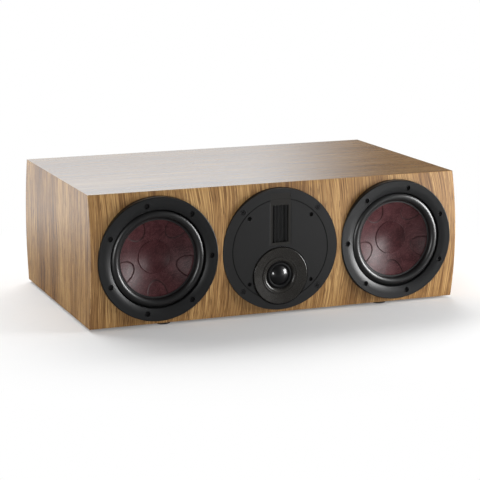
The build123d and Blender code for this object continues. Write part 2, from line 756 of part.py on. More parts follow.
module_head = rod(MODULE_HOLE_RADIUS - 0.4, module_seat - MODULE_HEAD_HEIGHT, module_seat)
module_shank = rod(MODULE_SCREW_DIAMETER / 2, module_seat, carrier_back)
module_slot = slab(0.8, 4, module_seat - MODULE_HEAD_HEIGHT - 1, module_seat - MODULE_HEAD_HEIGHT / 2)
module_slots = module_slot + Rot(0, 90, 0) * module_slot
module_screw = module_head + module_shank - module_slots
save_group([at_front(module_screw, x, z) for x, z in module_spots], "tweeter_screws")

# Soft dome with its coil and motor
dome_front = dome_seat - DOME_SKIN
roll_edge = DOME_RADIUS + DOME_ROLL
roll_half = DOME_ROLL / 2
dome_top = dome_front - DOME_HEIGHT
dome_bow = (DOME_RADIUS**2 + DOME_HEIGHT**2) / (2 * DOME_HEIGHT)
dome_bend = DOME_RADIUS / 2
dome_rise = dome_top + dome_bow - math.sqrt(dome_bow**2 - dome_bend**2)
dome = turned(
    (dome_lip, dome_front),
    (roll_edge, dome_front),
    ((DOME_RADIUS + roll_half, dome_front - roll_half), (DOME_RADIUS, dome_front)),
    ((dome_bend, dome_rise), (0.0, dome_top)),
    (0.0, dome_top + DOME_SKIN),
    ((dome_bend, dome_rise + DOME_SKIN), (DOME_RADIUS - 0.4, dome_seat)),
    (DOME_RADIUS + DOME_SKIN, dome_seat),
    ((DOME_RADIUS + roll_half, dome_seat - roll_half + DOME_SKIN / 2), (roll_edge - DOME_SKIN, dome_seat)),
    (dome_lip, dome_seat),
)
save(at_front(dome, 0, -dome_drop), "tweeter_dome")
dome_coil_in = DOME_RADIUS - 0.7
dome_coil = rod(dome_coil_in + 0.3, dome_seat, dome_seat + DOME_COIL_LENGTH)
dome_coil += rod(dome_coil_in + 0.8, dome_seat + 0.8, dome_seat + DOME_TOP_PLATE - 0.8)
dome_coil -= rod(dome_coil_in, 0, through)
save(at_front(dome_coil, 0, -dome_drop), "tweeter_voice_coil")
dome_plate_back = dome_seat + DOME_TOP_PLATE
dome_magnet_back = dome_plate_back + DOME_MAGNET_THICKNESS
dome_yoke_back = dome_magnet_back + DOME_YOKE_THICKNESS
dome_gap = dome_coil_in + 0.8 + SLIDE_CLEARANCE
dome_plate = rod(dome_magnet_radius, dome_seat, dome_plate_back) - rod(dome_gap, 0, through)
save(at_front(dome_plate, 0, -dome_drop), "tweeter_top_plate")
dome_magnet = rod(dome_magnet_radius, dome_plate_back, dome_magnet_back) - rod(dome_gap + 3, 0, through)
save(at_front(dome_magnet, 0, -dome_drop), "tweeter_magnet")
dome_pole = rod(dome_coil_in - SLIDE_CLEARANCE, dome_seat + 0.5, dome_magnet_back + 1)
dome_yoke = rod(dome_magnet_radius - 1, dome_magnet_back, dome_yoke_back) + dome_pole
dome_yoke -= rod(VENT_RADIUS / 2, 0, through)
save(at_front(dome_yoke, 0, -dome_drop), "tweeter_yoke")

# Ribbon stack behind the slot
grid_back = plate_rear + GRID_THICKNESS
film_back = grid_back + FILM_FRAME
cavity_back = film_back + RIBBON_CAVITY
ribbon_back = cavity_back + RIBBON_YOKE_FLOOR
window_x = stack_x - 8
window_z = stack_z - 8
grid = slab(stack_x, stack_z, plate_rear, grid_back)
bar_step = window_x / (GRID_BARS + 1)
for gap in range(GRID_BARS + 1):
    x = (gap + 0.5) * bar_step - window_x / 2
    grid -= slab(bar_step * 0.62, window_z, 0, through, x)
save(at_front(grid, 0, slot_rise), "ribbon_grid")
film = slab(stack_x, stack_z, grid_back, film_back)
film_middle = (grid_back + film_back) / 2
film -= slab(window_x, window_z, 0, film_middle - FILM_THICKNESS / 2)
film -= slab(window_x, window_z, film_middle + FILM_THICKNESS / 2, through)
save(at_front(film, 0, slot_rise), "ribbon_diaphragm")
ribbon_yoke = slab(stack_x, stack_z, film_back, ribbon_back)
ribbon_yoke -= slab(window_x, window_z, 0, cavity_back)
save(at_front(ribbon_yoke, 0, slot_rise), "ribbon_yoke")
bars = []
for number in range(GRID_BARS):
    x = (number + 1) * bar_step - window_x / 2
    bar = slab(bar_step * 0.5, window_z - 2, cavity_back - RIBBON_MAGNET_HEIGHT, cavity_back, x)
    bars.append(at_front(bar, 0, slot_rise))
save_group(bars, "ribbon_magnets")

# Flared reflex ports
port_mouth = PORT_RADIUS + PORT_FLARE
flare_start = PORT_FLARE - PORT_PROUD
port = turned(
    (PORT_RADIUS, flare_start),
    (
        (port_mouth - 0.7071 * PORT_FLARE, flare_start - 0.7071 * PORT_FLARE),
        (port_mouth, -PORT_PROUD),
    ),
    (port_flange - 0.5, -PORT_PROUD),
    (port_flange, 0.5 - PORT_PROUD),
    (port_flange, PORT_SEAT),
    (port_outer, PORT_SEAT),
    (port_outer, PORT_LENGTH),
    (PORT_RADIUS + 1.5, PORT_LENGTH),
    ((PORT_RADIUS + 0.44, PORT_LENGTH - 0.44), (PORT_RADIUS, PORT_LENGTH - 1.5)),
)
save_group([at_rear(port, x) for x in (-PORT_OFFSET, PORT_OFFSET)], "reflex_ports")

# Terminal cup, its screws and the binding posts
cup_back = CUP_DEPTH + CUP_FLOOR
cup = rounded_slab(rim_x, rim_z, CUP_CORNER - RING_CLEARANCE, 0, CUP_SEAT)
cup += rounded_slab(cup_out_x, cup_out_z, CUP_CORNER - INSERT_CLEARANCE, CUP_SEAT, cup_back)
cup -= rounded_slab(CUP_WIDTH, CUP_HEIGHT, CUP_CORNER - CUP_WALL, -1, CUP_DEPTH)
post_x = POST_SPACING / 2
for x in (-post_x, post_x):
    cup -= rod(POST_TAIL_RADIUS + SCREW_CLEARANCE, 0, through, x)
cup_head = CUP_SCREW_HEAD / 2
cup_shank = CUP_SCREW_DIAMETER / 2
head_depth = cup_head - cup_shank
for x, z in cup_spots:
    cone_hole = turned(
        (0.0, -1),
        (cup_head + SCREW_CLEARANCE, -1),
        (cup_head + SCREW_CLEARANCE, 0.3),
        (cup_shank + SCREW_CLEARANCE, 0.3 + head_depth),
        (0.0, 0.3 + head_depth),
    )
    cup -= Pos(x, 0, z) * cone_hole
    cup -= rod(cup_shank + SCREW_CLEARANCE, 0, 20, x, z)
save(at_rear(cup), "terminal_cup")
cup_screw = turned(
    (0.0, 0.3),
    (cup_head, 0.3),
    (cup_shank, 0.3 + head_depth),
    (cup_shank, CUP_SCREW_LENGTH),
    (0.0, CUP_SCREW_LENGTH),
)
cross = slab(0.8, 3.4, 0, 1.2) + slab(3.4, 0.8, 0, 1.2)
cup_screw -= cross
save_group([at_rear(cup_screw, x, z) for x, z in cup_spots], "terminal_screws")

collar_front = CUP_DEPTH - POST_COLLAR
washer_back = collar_front - BODY_GAP
washer_front = washer_back - WASHER_THICKNESS
knob_back = washer_front - BODY_GAP
knob_front = knob_back - KNOB_LENGTH
tail_end = cup_back + NUT_THICKNESS + 8
post = rod(POST_COLLAR_RADIUS, collar_front, CUP_DEPTH)
post += rod(POST_RADIUS, knob_front + 0.5, collar_front)
post += rod(POST_TAIL_RADIUS, CUP_DEPTH, tail_end)
post = chamfer(post.edges().group_by(Axis.Y)[0], 0.5)
post -= rod(POST_BORE_RADIUS, 0, knob_front + 0.5 + POST_BORE_DEPTH)
wire_y = knob_back - 2 * WIRE_HOLE_RADIUS
post -= Pos(0, wire_y, 0) * Cylinder(WIRE_HOLE_RADIUS, 40)
washer = rod(WASHER_RADIUS, washer_front, washer_back)
washer -= rod(POST_RADIUS + BODY_GAP, 0, through)
knob = rod(KNOB_RADIUS, knob_front, knob_back)
knob = chamfer(knob.edges(), 0.8)
for x, z in ring_spots(KNOB_GROOVES, KNOB_RADIUS + 0.6, 15):
    knob -= rod(1.3, knob_front + 2.5, knob_back - 1.5, x, z)
knob -= rod(POST_RADIUS + TURN_CLEARANCE, 0, through)
nut_face = Plane.XZ * RegularPolygon(NUT_ACROSS / 2, 6, major_radius=False)
nut = Pos(0, cup_back, 0) * extrude(nut_face, amount=-NUT_THICKNESS)
nut -= rod(POST_TAIL_RADIUS + THREAD_CLEARANCE, 0, through)
for x, name in ((post_x, "positive_"), (-post_x, "negative_")):
    save(at_rear(post, x), name + "post")
    save(at_rear(washer, x), name + "washer")
    save(at_rear(knob, x), name + "knob")
save_group([at_rear(nut, x) for x in (-post_x, post_x)], "post_nuts")

# Crossover board, spacers and components
board_y = front_y + BOARD_SET + BOARD_DEPTH / 2
board_z = inside_floor_z + SPACER_HEIGHT
board_top = board_z + BOARD_THICKNESS
board = Pos(0, board_y, board_z + BOARD_THICKNESS / 2) * Box(BOARD_WIDTH, BOARD_DEPTH, BOARD_THICKNESS)
save(board, "crossover_board")
spacers = []
for x in (-BOARD_WIDTH / 2 + 8, BOARD_WIDTH / 2 - 8):
    for y in (board_y - BOARD_DEPTH / 2 + 8, board_y + BOARD_DEPTH / 2 - 8):
        spacer = Pos(x, y, inside_floor_z + SPACER_HEIGHT / 2) * Cylinder(SPACER_RADIUS, SPACER_HEIGHT)
        spacers.append(spacer)
save_group(spacers, "crossover_spacers")
air_coil = Cylinder(AIR_COIL_RADIUS, AIR_COIL_HEIGHT) - Cylinder(AIR_COIL_RADIUS / 2, 2 * AIR_COIL_HEIGHT)
coils = []
for x in (-0.3 * BOARD_WIDTH, 0.3 * BOARD_WIDTH):
    coils.append(Pos(x, board_y - 0.22 * BOARD_DEPTH, board_top + AIR_COIL_HEIGHT / 2) * air_coil)
save_group(coils, "crossover_coils")
capacitor = Rot(0, 90, 0) * Cylinder(CAPACITOR_RADIUS, CAPACITOR_LENGTH)
capacitor &= Pos(0, 0, 0.3) * Box(CAPACITOR_LENGTH, 3 * CAPACITOR_RADIUS, 2 * CAPACITOR_RADIUS)
capacitors = []
for x in (-0.3 * BOARD_WIDTH, 0.0, 0.3 * BOARD_WIDTH):
    y = board_y + 0.2 * BOARD_DEPTH if x else board_y + 0.36 * BOARD_DEPTH
    capacitors.append(Pos(x, y, board_top + CAPACITOR_RADIUS - 0.3) * capacitor)
save_group(capacitors, "crossover_capacitors")
resistor = Box(RESISTOR_LENGTH, RESISTOR_SIDE, RESISTOR_SIDE)
resistor = Pos(0, 0, board_top + RESISTOR_SIDE / 2) * resistor
resistor_spots = ((-0.33 * BOARD_WIDTH, 0.4), (0.33 * BOARD_WIDTH, 0.4))
resistors = [Pos(x, board_y + share * BOARD_DEPTH, 0) * resistor for x, share in resistor_spots]
save_group(resistors, "crossover_resistors")
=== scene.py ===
import math

import bpy
import numpy as np
from bpy.props import FloatProperty, FloatVectorProperty, IntProperty, PointerProperty
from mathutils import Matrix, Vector


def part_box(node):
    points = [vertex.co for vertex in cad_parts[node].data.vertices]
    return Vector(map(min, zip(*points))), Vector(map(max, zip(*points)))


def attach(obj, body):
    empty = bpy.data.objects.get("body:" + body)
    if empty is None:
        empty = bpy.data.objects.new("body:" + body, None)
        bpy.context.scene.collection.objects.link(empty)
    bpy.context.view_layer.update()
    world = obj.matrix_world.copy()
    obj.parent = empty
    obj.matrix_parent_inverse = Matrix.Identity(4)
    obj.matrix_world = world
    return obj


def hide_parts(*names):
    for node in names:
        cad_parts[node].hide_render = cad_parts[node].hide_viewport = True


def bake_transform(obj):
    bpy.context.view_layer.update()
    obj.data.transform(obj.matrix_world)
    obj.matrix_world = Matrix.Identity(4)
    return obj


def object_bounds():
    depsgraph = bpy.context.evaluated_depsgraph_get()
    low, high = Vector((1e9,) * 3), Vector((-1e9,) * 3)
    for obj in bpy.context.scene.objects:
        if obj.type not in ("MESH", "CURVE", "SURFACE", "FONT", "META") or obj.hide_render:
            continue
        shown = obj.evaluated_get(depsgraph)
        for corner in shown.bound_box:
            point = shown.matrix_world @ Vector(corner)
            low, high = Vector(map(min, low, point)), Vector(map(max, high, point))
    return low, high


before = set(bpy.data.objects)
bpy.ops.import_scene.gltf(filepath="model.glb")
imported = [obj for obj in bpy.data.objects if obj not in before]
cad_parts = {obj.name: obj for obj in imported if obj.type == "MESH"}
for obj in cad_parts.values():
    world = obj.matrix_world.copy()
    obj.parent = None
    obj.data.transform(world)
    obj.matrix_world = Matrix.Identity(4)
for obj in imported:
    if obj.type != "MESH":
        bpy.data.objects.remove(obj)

bl_info = {
    "name": "Center channel speaker finishes",
    "version": (1, 0, 0),
    "blender": (4, 5, 0),
    "location": "View3D > Sidebar > Speaker",
    "description": "Dresses the speaker's frame with finishes and soft pieces and sets its stage",
    "category": "Object",
}

CAD_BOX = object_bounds()
SIDES = ("left", "right")
MM = 0.001
# Attribute that marks the slopes of the cone's lobes, where shade is painted
LOBE_SHADE = "lobe_line"
# Angle from which two faces meet in a crease
CREASE = math.radians(40.0)

# Rows along the cone's face, and segments around the turned pieces
CONE_STEPS = 72
FINE_TURN = 480
PLAIN_TURN = 240
SMALL_TURN = 160


# Places taken from the frame


def middle(node):
    """Centre of a node's box."""
    low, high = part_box(node)
    return (low + high) / 2


def reach(node):
    """Radius of a round node that faces the front."""
    low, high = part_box(node)
    return (high.x - low.x) / 2


def front_of(node):
    """Depth of a node's foremost point."""
    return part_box(node)[0].y


def back_of(node):
    """Depth of a node's rearmost point."""
    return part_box(node)[1].y


# Sizes and colours that a user may change


def length(title, text, default):
    """A size in metres."""
    return FloatProperty(name=title, description=text, default=default, unit="LENGTH", precision=5)


def share(title, text, default, high=1.0):
    """A plain number from nought up."""
    return FloatProperty(name=title, description=text, default=default, min=0.0, max=high)


def colour(title, text, default):
    """A linear colour."""
    return FloatVectorProperty(
        name=title, description=text, default=default, subtype="COLOR", size=3, min=0.0, max=1.0
    )


def place(title, text, default):
    """A point in the shared frame."""
    return FloatVectorProperty(
        name=title, description=text, default=default, subtype="TRANSLATION", unit="LENGTH", size=3
    )


def turn(title, text, degrees):
    """An angle, given in degrees."""
    angle = math.radians(degrees)
    return FloatProperty(
        name=title, description=text, default=angle, subtype="ANGLE", unit="ROTATION"
    )


def count(title, text, default):
    """A whole number of like forms."""
    return IntProperty(name=title, description=text, default=default, min=1)


def power(title, watts):
    """Power of a lamp."""
    return FloatProperty(name=title, description="Power in watts", default=watts, min=0.0)


class SpeakerVeneer(bpy.types.PropertyGroup):
    """Walnut veneer of the cabinet."""

    dark: colour("Dark grain", "Late wood of the growth lines", (0.105, 0.041, 0.011))
    mid: colour("Middle grain", "Body of the veneer", (0.300, 0.158, 0.051))
    light: colour("Light grain", "Pale streaks", (0.560, 0.350, 0.140))
    line_gap: length("Line gap", "Usual distance between growth lines", 0.0110)
    fibre_gap: length("Fibre gap", "Usual distance between fine streaks", 0.0013)
    pore_gap: length("Pore gap", "Usual distance between pores", 0.0016)
    wander: length("Wander", "How far the grain strays from straight", 0.036)
    roughness: share("Roughness", "Roughness of the bare veneer", 0.46)
    lacquer: share("Lacquer", "Strength of the satin lacquer", 1.0)
    satin: share("Satin", "Softness of what the lacquer mirrors on the upright faces", 0.40)
    polish: share("Polish", "Softness of what the lacquer mirrors on the top", 0.13)


class SpeakerWoofer(bpy.types.PropertyGroup):
    """Soft and moving pieces of the two woofers."""

    skin: length("Rubber", "Thickness of the surround", 1.0 * MM)
    cone_lip: length("Cone lip", "Flat edge of the cone", 3.7 * MM)
    cone_thickness: length("Cone thickness", "Wall of the cone", 1.2 * MM)
    cone_bowl: length("Cone bowl", "Rearward bow of the cone's wall", 1.48 * MM)
    neck: length("Neck", "Radius where the cone meets its coil", 19.2 * MM)
    lobe_count: count("Lobes", "Pressed lobes around the cone", 5)
    lobe_depth: length("Lobe depth", "Depth of a pressed lobe", 0.8 * MM)
    lobe_reach: length("Lobe reach", "Half length of a lobe", 25.0 * MM)
    lobe_half: length("Lobe half width", "Half width of a lobe", 16.5 * MM)
    lobe_set: length("Lobe set", "How far a lobe's centre lies outside the cone's lip", 2.0 * MM)
    lobe_edge: length("Lobe edge", "Width of a lobe's slope", 1.4 * MM)
    lobe_turn: turn("Lobe turn", "Angle of the first lobe", 55.0)
    cap_skin: length("Cap skin", "Thickness of the dust cap", 0.6 * MM)
    spider_waves: count("Spider waves", "Corrugations of the spider", 4)
    spider_wave: length("Spider wave", "Height of a corrugation", 1.4 * MM)
    spider_skin: length("Spider skin", "Thickness of the spider", 0.8 * MM)
    pulp: colour("Pulp", "Body of the cone", (0.0300, 0.0078, 0.0094))
    fibre: colour("Fibre", "Wood fibres in the cone", (0.135, 0.050, 0.054))
    rubber: colour("Rubber colour", "Surround", (0.006, 0.006, 0.0062))
    ring: colour("Trim ring", "Satin plastic of the rings", (0.0085, 0.0088, 0.0093))
    cone_slant: turn("Cone slant", "How much steeper the cone's edge is shaded", 11.0)
    cap_slant: turn("Cap slant", "How much steeper the cap's edge is shaded", 15.0)
    ring_slant: turn("Ring slant", "How far the ring's face seems to slope inwards", 7.0)


class SpeakerTweeter(bpy.types.PropertyGroup):
    """Dome, waveguide and ribbon."""

    dome_radius: length("Dome radius", "Radius of the dome inside its roll", 15.2 * MM)
    dome_height: length("Dome height", "Height of the dome", 6.2 * MM)
    roll_width: length("Roll width", "Width of the dome's roll", 4.4 * MM)
    dome_skin: length("Dome skin", "Thickness of the dome", 0.5 * MM)
    groove: length("Groove", "Radius of the groove in the plate", 77.2 * MM)
    horn_half: length("Horn half width", "Half width of the ribbon's horn", 16.5 * MM)
    horn_low: length("Horn foot", "From the slot's middle down to its horn's foot", 32.5 * MM)
    horn_high: length("Horn top", "From the plate's middle up to the horn's top", 86.0 * MM)
    plate: colour("Plate", "Moulded plate", (0.0130, 0.0130, 0.0132))
    guide: colour("Waveguide", "Moulded waveguide", (0.0190, 0.0175, 0.0155))
    cloth: colour("Dome cloth", "Coated cloth of the dome", (0.0035, 0.0035, 0.004))


class SpeakerStage(bpy.types.PropertyGroup):
    """Camera, floor and lamps."""

    camera_place: place("Camera", "Where the camera stands", (-0.9922, -2.5618, 0.6590))
    camera_yaw: turn("Yaw", "Camera's turn to its right", 21.318)
    camera_pitch: turn("Pitch", "Camera's tilt, below the horizon when negative", -8.720)
    lens: FloatProperty(name="Lens", description="Focal length in millimetres", default=130.74)
    shift: FloatProperty(name="Shift", description="Upright shift of the lens", default=-0.2)
    floor_shade: share("Floor", "Whiteness of the floor", 0.84)
    # Gloss sees the near floor this dark: a painted shade
    floor_mirrored: share("Floor in gloss", "Whiteness of the near floor in gloss", 0.18)
    floor_side: length("Side floor", "How far right the floor starts to be mirrored in full", 0.42)
    floor_near: length("Shadow zone", "Radius within which the floor keeps the shadow", 0.36)
    floor_far: length("White zone", "Radius from which the floor is plain white", 0.64)
    ambient: share("Ambient", "Even light from all round", 0.20)
    backdrop: colour("Backdrop", "What gloss mirrors behind on the left", (0.74, 0.85, 0.94))
    backdrop_strength: share("Backdrop strength", "Brightness of that tint", 1.16, 3.0)
    room: share("Room", "What gloss mirrors in front and at the right", 0.08)
    back_power: power("Back softbox", 110.0)
    right_power: power("Right softbox", 20.5)
    front_power: power("Front softbox", 15.5)
    left_power: power("Left softbox", 15.0)


# Shader arithmetic


class Value:
    """A number from a shader node that takes part in Python arithmetic."""

    def __init__(self, paint, socket):
        self.paint = paint
        self.socket = socket

    def __add__(self, other):
        return self.paint.math("ADD", self, other)

    def __radd__(self, other):
        return self.paint.math("ADD", other, self)

    def __sub__(self, other):
        return self.paint.math("SUBTRACT", self, other)

    def __rsub__(self, other):
        return self.paint.math("SUBTRACT", other, self)

    def __mul__(self, other):
        return self.paint.math("MULTIPLY", self, other)

    def __rmul__(self, other):
        return self.paint.math("MULTIPLY", other, self)

    def __truediv__(self, other):
        return self.paint.math("DIVIDE", self, other)

    def __rtruediv__(self, other):
        return self.paint.math("DIVIDE", other, self)

    def __abs__(self):
        return self.paint.math("ABSOLUTE", self)

    def __gt__(self, other):
        return self.paint.math("GREATER_THAN", self, other)

    def __lt__(self, other):
        return self.paint.math("LESS_THAN", self, other)


class Paint:
    """The nodes of one finish, or of the world."""

    def __init__(self, tree):
        self.tree = tree
        self.tree.nodes.clear()

    def add(self, kind, settings=None, values=None, output=0):
        """Add a node, set it up, feed its sockets and return one of its outputs."""
        node = self.tree.nodes.new(kind)
        for key, setting in (settings or {}).items():
            if key == "stops":
                self.set_stops(node.color_ramp, setting)
            else:
                setattr(node, key, setting)
        for key, value in (values or {}).items():
            self.feed(node.inputs[key], value)
        return Value(self, node.outputs[output]) if node.outputs else node

    def set_stops(self, ramp, stops):
        """Give a colour ramp its stops."""
        while len(ramp.elements) < len(stops):
            ramp.elements.new(1.0)
        for element, (position, shade) in zip(ramp.elements, stops):
            element.position = position
            element.color = (*shade, 1.0)

    def feed(self, socket, value):
        """Link a socket to a value, or set it to a number or colour."""
        if isinstance(value, Value):
            self.tree.links.new(value.socket, socket)
        elif socket.type == "RGBA":
            socket.default_value = (*tuple(value)[:3], 1.0)
        else:
            socket.default_value = value

    def math(self, operation, *values):
        """One Math node."""
        return self.add("ShaderNodeMath", {"operation": operation}, dict(enumerate(values)))

    def mix(self, factor, first, second):
        """Blend two colours."""
        settings = {"data_type": "RGBA", "clamp_factor": True}
        return self.add("ShaderNodeMix", settings, {0: factor, 6: first, 7: second}, 2)

    def split(self, vector):
        """The three numbers of a vector."""
        first = self.add("ShaderNodeSeparateXYZ", None, {0: vector})
        outputs = first.socket.node.outputs
        return tuple(Value(self, socket) for socket in outputs)

    def join(self, x, y, z):
        """A vector of three numbers."""
        return self.add("ShaderNodeCombineXYZ", None, {0: x, 1: y, 2: z})

    def position(self):
        """Place on the object, in the shared frame."""
        return self.add("ShaderNodeTexCoord", output="Object")

    def normal(self):
        """Direction that the surface faces."""
        return self.add("ShaderNodeNewGeometry", output="Normal")

    def rays(self):
        """Whether the camera, gloss or clear matter sees the surface."""
        node = self.add("ShaderNodeLightPath").socket.node
        names = ("Is Camera Ray", "Is Glossy Ray", "Is Transmission Ray")
        return tuple(Value(self, node.outputs[name]) for name in names)

    def noise(self, vector, scale=1.0, detail=2.0, distortion=0.0):
        """Soft random values around a half."""
        values = {"Vector": vector, "Scale": scale, "Detail": detail, "Distortion": distortion}
        return self.add("ShaderNodeTexNoise", None, values, "Fac")

    def rise(self, value, low, high):
        """Smooth step from nought to one between two values."""
        settings = {"interpolation_type": "SMOOTHSTEP"}
        return self.add("ShaderNodeMapRange", settings, {"Value": value, 1: low, 2: high}, 0)

    def stretched(self, vector, sizes):
        """A vector with each part multiplied."""
        return self.add("ShaderNodeVectorMath", {"operation": "MULTIPLY"}, {0: vector, 1: sizes})

    def toned(self, tone, shade):
        """A colour made lighter or darker by a number."""
        return self.stretched(self.join(tone, tone, tone), tuple(shade))

    def away(self, centre):
        """Distance from the front-to-back line through a centre."""
        x, y, z = self.split(self.position())
        aside = x - centre.x
        above = z - centre.z
        return self.math("SQRT", aside * aside + above * above)

    def bump(self, height, distance, strength=1.0):
        """Normal that follows a height."""
        values = {"Height": height, "Distance": distance, "Strength": strength}
        return self.add("ShaderNodeBump", None, values)

    def blended(self, factor, first, second):
        """Mix two shaders on the material's output."""
        shader = self.add("ShaderNodeMixShader", None, {0: factor, 1: first, 2: second})
        self.add("ShaderNodeOutputMaterial", None, {"Surface": shader})

    def surface(self, values):
        """Principled shader on the material's output."""
        shader = self.add("ShaderNodeBsdfPrincipled", None, values)
        self.add("ShaderNodeOutputMaterial", None, {"Surface": shader})


def finish(name, build, *arguments, **settings):
    """Material whose nodes a function lays out."""
    material = bpy.data.materials.new(name)
    material.use_nodes = True
    build(Paint(material.node_tree), *arguments, **settings)
    return material


def dress(nodes, material):
    """Give frame nodes their finish."""
    for name in nodes:
        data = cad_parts[name].data
        data.materials.clear()
        data.materials.append(material)


# Finishes

# Part of a normal from which its face counts as facing that way
FACING = 0.7
# Waves of the veneer's grain in a metre, across it and along it
STRAY_WAVES = (7.0, 4.2)
BAND_WAVES = (18.0, 1.2)
LINE_WAVES = 1.6
FIBRE_WAVES = 13.0
PORE_WAVES = 45.0
# Share of the growth lines and of the fibres in the veneer's streaks
LINE_SHARE = 0.4
FIBRE_SHARE = 2.0
# Contrast of the grain in front, what the sides have more, and what the top has less, a fade that
# paints the glare hiding the top's grain
FRONT_CONTRAST = 0.80
SIDE_MORE = 0.10
TOP_GLARE_FADE = 0.42
# Where in the random pattern the leaves of veneer are cut, apart from the front's
TOP_LEAF = 3.1
SIDE_LEAF = 7.3
REAR_LEAF = 5.7
# Specks of moulded plastic in a metre and their height, and how much its tone varies
FINE_GRAIN = 2600.0
MOULD_GRAIN = 0.00006
PLASTIC_SPREAD = 0.25
# Streaks of worked metal in a metre, by axis
METAL_STREAKS = (900.0, 60.0, 900.0)
# Fibres of the cone: the ways they lie, and their waves in a metre along, behind and across
FIBRE_ANGLES = (12.0, 47.0, 83.0, 121.0, 158.0)
THREAD_WAVES = (150.0, 20.0, 1900.0)
THREAD_EDGE = (0.60, 0.72)
# Near black shade painted into the tweeter plate's groove
GROOVE_SHADE = (0.002, 0.002, 0.002)
# Dark red shade painted along the slopes of the cone's lobes
LOBE_SHADE_RED = (0.004, 0.0015, 0.0015)


def lay_veneer(paint, look):
    """Walnut with upright grain on the upright faces and lengthwise grain on top and bottom."""
    x, y, z = paint.split(paint.position())
    face_x, face_y, face_z = paint.split(paint.normal())
    flat = abs(face_z) > FACING
    side = abs(face_x) > FACING
    across = x * (1 - flat - side) + y * (flat + side)
    along = z * (1 - flat) + x * flat
    leaf = flat * TOP_LEAF + side * SIDE_LEAF + (face_y > 0.5) * REAR_LEAF
    # On top the grain is faded, as painted glare
    contrast = FRONT_CONTRAST + side * SIDE_MORE - flat * TOP_GLARE_FADE
    slow = paint.join(across * STRAY_WAVES[0], along * STRAY_WAVES[1], leaf + 6)
    bent = across + (paint.noise(slow) - 0.5) * look.wander
    broad = paint.join(bent * BAND_WAVES[0], along * BAND_WAVES[1], leaf)
    bands = paint.noise(broad)
    lines = paint.noise(paint.join(bent / look.line_gap, along * LINE_WAVES, leaf + 2), 1.0, 1.0)
    fibres = paint.noise(paint.join(bent / look.fibre_gap, along * FIBRE_WAVES, leaf), 1.0, 3.0)
    pores = paint.noise(paint.join(bent / look.pore_gap, along * PORE_WAVES, leaf))
    streaks = bands - 0.5 + (lines - 0.5) * LINE_SHARE + (fibres - 0.5) * FIBRE_SHARE
    tone = 0.5 + streaks * contrast
    stops = [(0.16, look.dark), (0.49, look.mid), (0.84, look.light)]
    body = paint.add("ShaderNodeValToRGB", {"stops": stops}, {"Fac": tone}, "Color")
    hairs = 1 - paint.rise(abs(lines - 0.5), 0.0, 0.03)
    specks = paint.rise(pores, 0.55, 0.68)
    cuts = paint.math("MAXIMUM", hairs * 0.5, specks * 0.9) * contrast
    values = {
        "Base Color": paint.mix(cuts, body, look.dark),
        "Roughness": look.roughness + (fibres - 0.5) * 0.16,
        "Normal": paint.bump(fibres * 0.4 - specks * 0.6, 0.00012, 0.25),
        "Coat Weight": look.lacquer,
        "Coat IOR": 1.45,
    }
    satin = {"Specular IOR Level": 0.1, "Coat Roughness": look.satin}
    polish = {"Specular IOR Level": 0.03, "Coat Roughness": look.polish}
    upright = paint.add("ShaderNodeBsdfPrincipled", None, values | satin)
    level = paint.add("ShaderNodeBsdfPrincipled", None, values | polish)
    paint.blended(flat + side, upright, level)


def lay_plastic(paint, shade, roughness, grain=MOULD_GRAIN, gloss=0.35):
    """Moulded plastic with a fine grain."""
    position = paint.position()
    fine = paint.noise(position, FINE_GRAIN)
    broad = paint.noise(position, 38.0, 3.0)
    tone = 1 - PLASTIC_SPREAD / 2 + broad * PLASTIC_SPREAD
    paint.surface({
        "Base Color": paint.toned(tone, shade),
        "Roughness": roughness + (fine - 0.5) * 0.10 + (broad - 0.5) * 0.06,
        "Specular IOR Level": gloss,
        "Normal": paint.bump(fine, grain, 0.35),
    })


def lay_plate(paint, look, centre, slot):
    """Moulded plate with shade painted into the groove near its edge, and its horn painted in the
    waveguide's lighter tint for the light it catches.
    """
    x, y, z = paint.split(paint.position())
    aside = x - centre.x
    above = z - centre.z
    # Shade painted into the groove near the plate's edge, but not across the horn
    groove = 1 - paint.rise(abs(paint.away(centre) - look.groove), 0.5 * MM, 1.1 * MM)
    upright = (z > slot.z - look.horn_low) * (above < look.horn_high)
    horn = (abs(aside) < look.horn_half) * upright
    fine = paint.noise(paint.position(), FINE_GRAIN)
    # Painted light: the horn takes the waveguide's lighter tint, which stands in for the light its
    # sloped faces catch
    shade = paint.mix(horn * 0.8, look.plate, look.guide)
    paint.surface({
        "Base Color": paint.mix(groove * (1 - horn) * 0.9, shade, GROOVE_SHADE),
        "Roughness": 0.52 - horn * 0.10 + groove * 0.4 + (fine - 0.5) * 0.10,
        "Specular IOR Level": 0.25,
        "Normal": paint.bump(fine, MOULD_GRAIN, 0.35),
    })


def lay_bars(paint, face, edge):
    """Dull painted steel whose bars' sides, facing left and right, are painted paler than their
    fronts: painted light in the slot's shade.
    """
    face_x = paint.split(paint.normal())[0]
    fine = paint.noise(paint.position(), FINE_GRAIN)
    paint.surface({
        # Sides facing left and right painted paler than the fronts, as painted light
        "Base Color": paint.mix(abs(face_x) > FACING, face, edge),
        "Roughness": 0.65 + (fine - 0.5) * 0.10,
        "Specular IOR Level": 0.08,
    })


def lay_ring(paint, shade, roughness, centre, slant):
    """Satin plastic whose face catches light as if it sloped towards its middle."""
    fine = paint.noise(paint.position(), FINE_GRAIN)
    tone = 0.9 + fine * 0.2
    paint.surface({
        "Base Color": paint.toned(tone, shade),
        "Roughness": roughness + (fine - 0.5) * 0.10,
        "Specular IOR Level": 0.45,
        "Normal": paint.bump(paint.away(centre) * math.tan(slant), 1.0),
    })


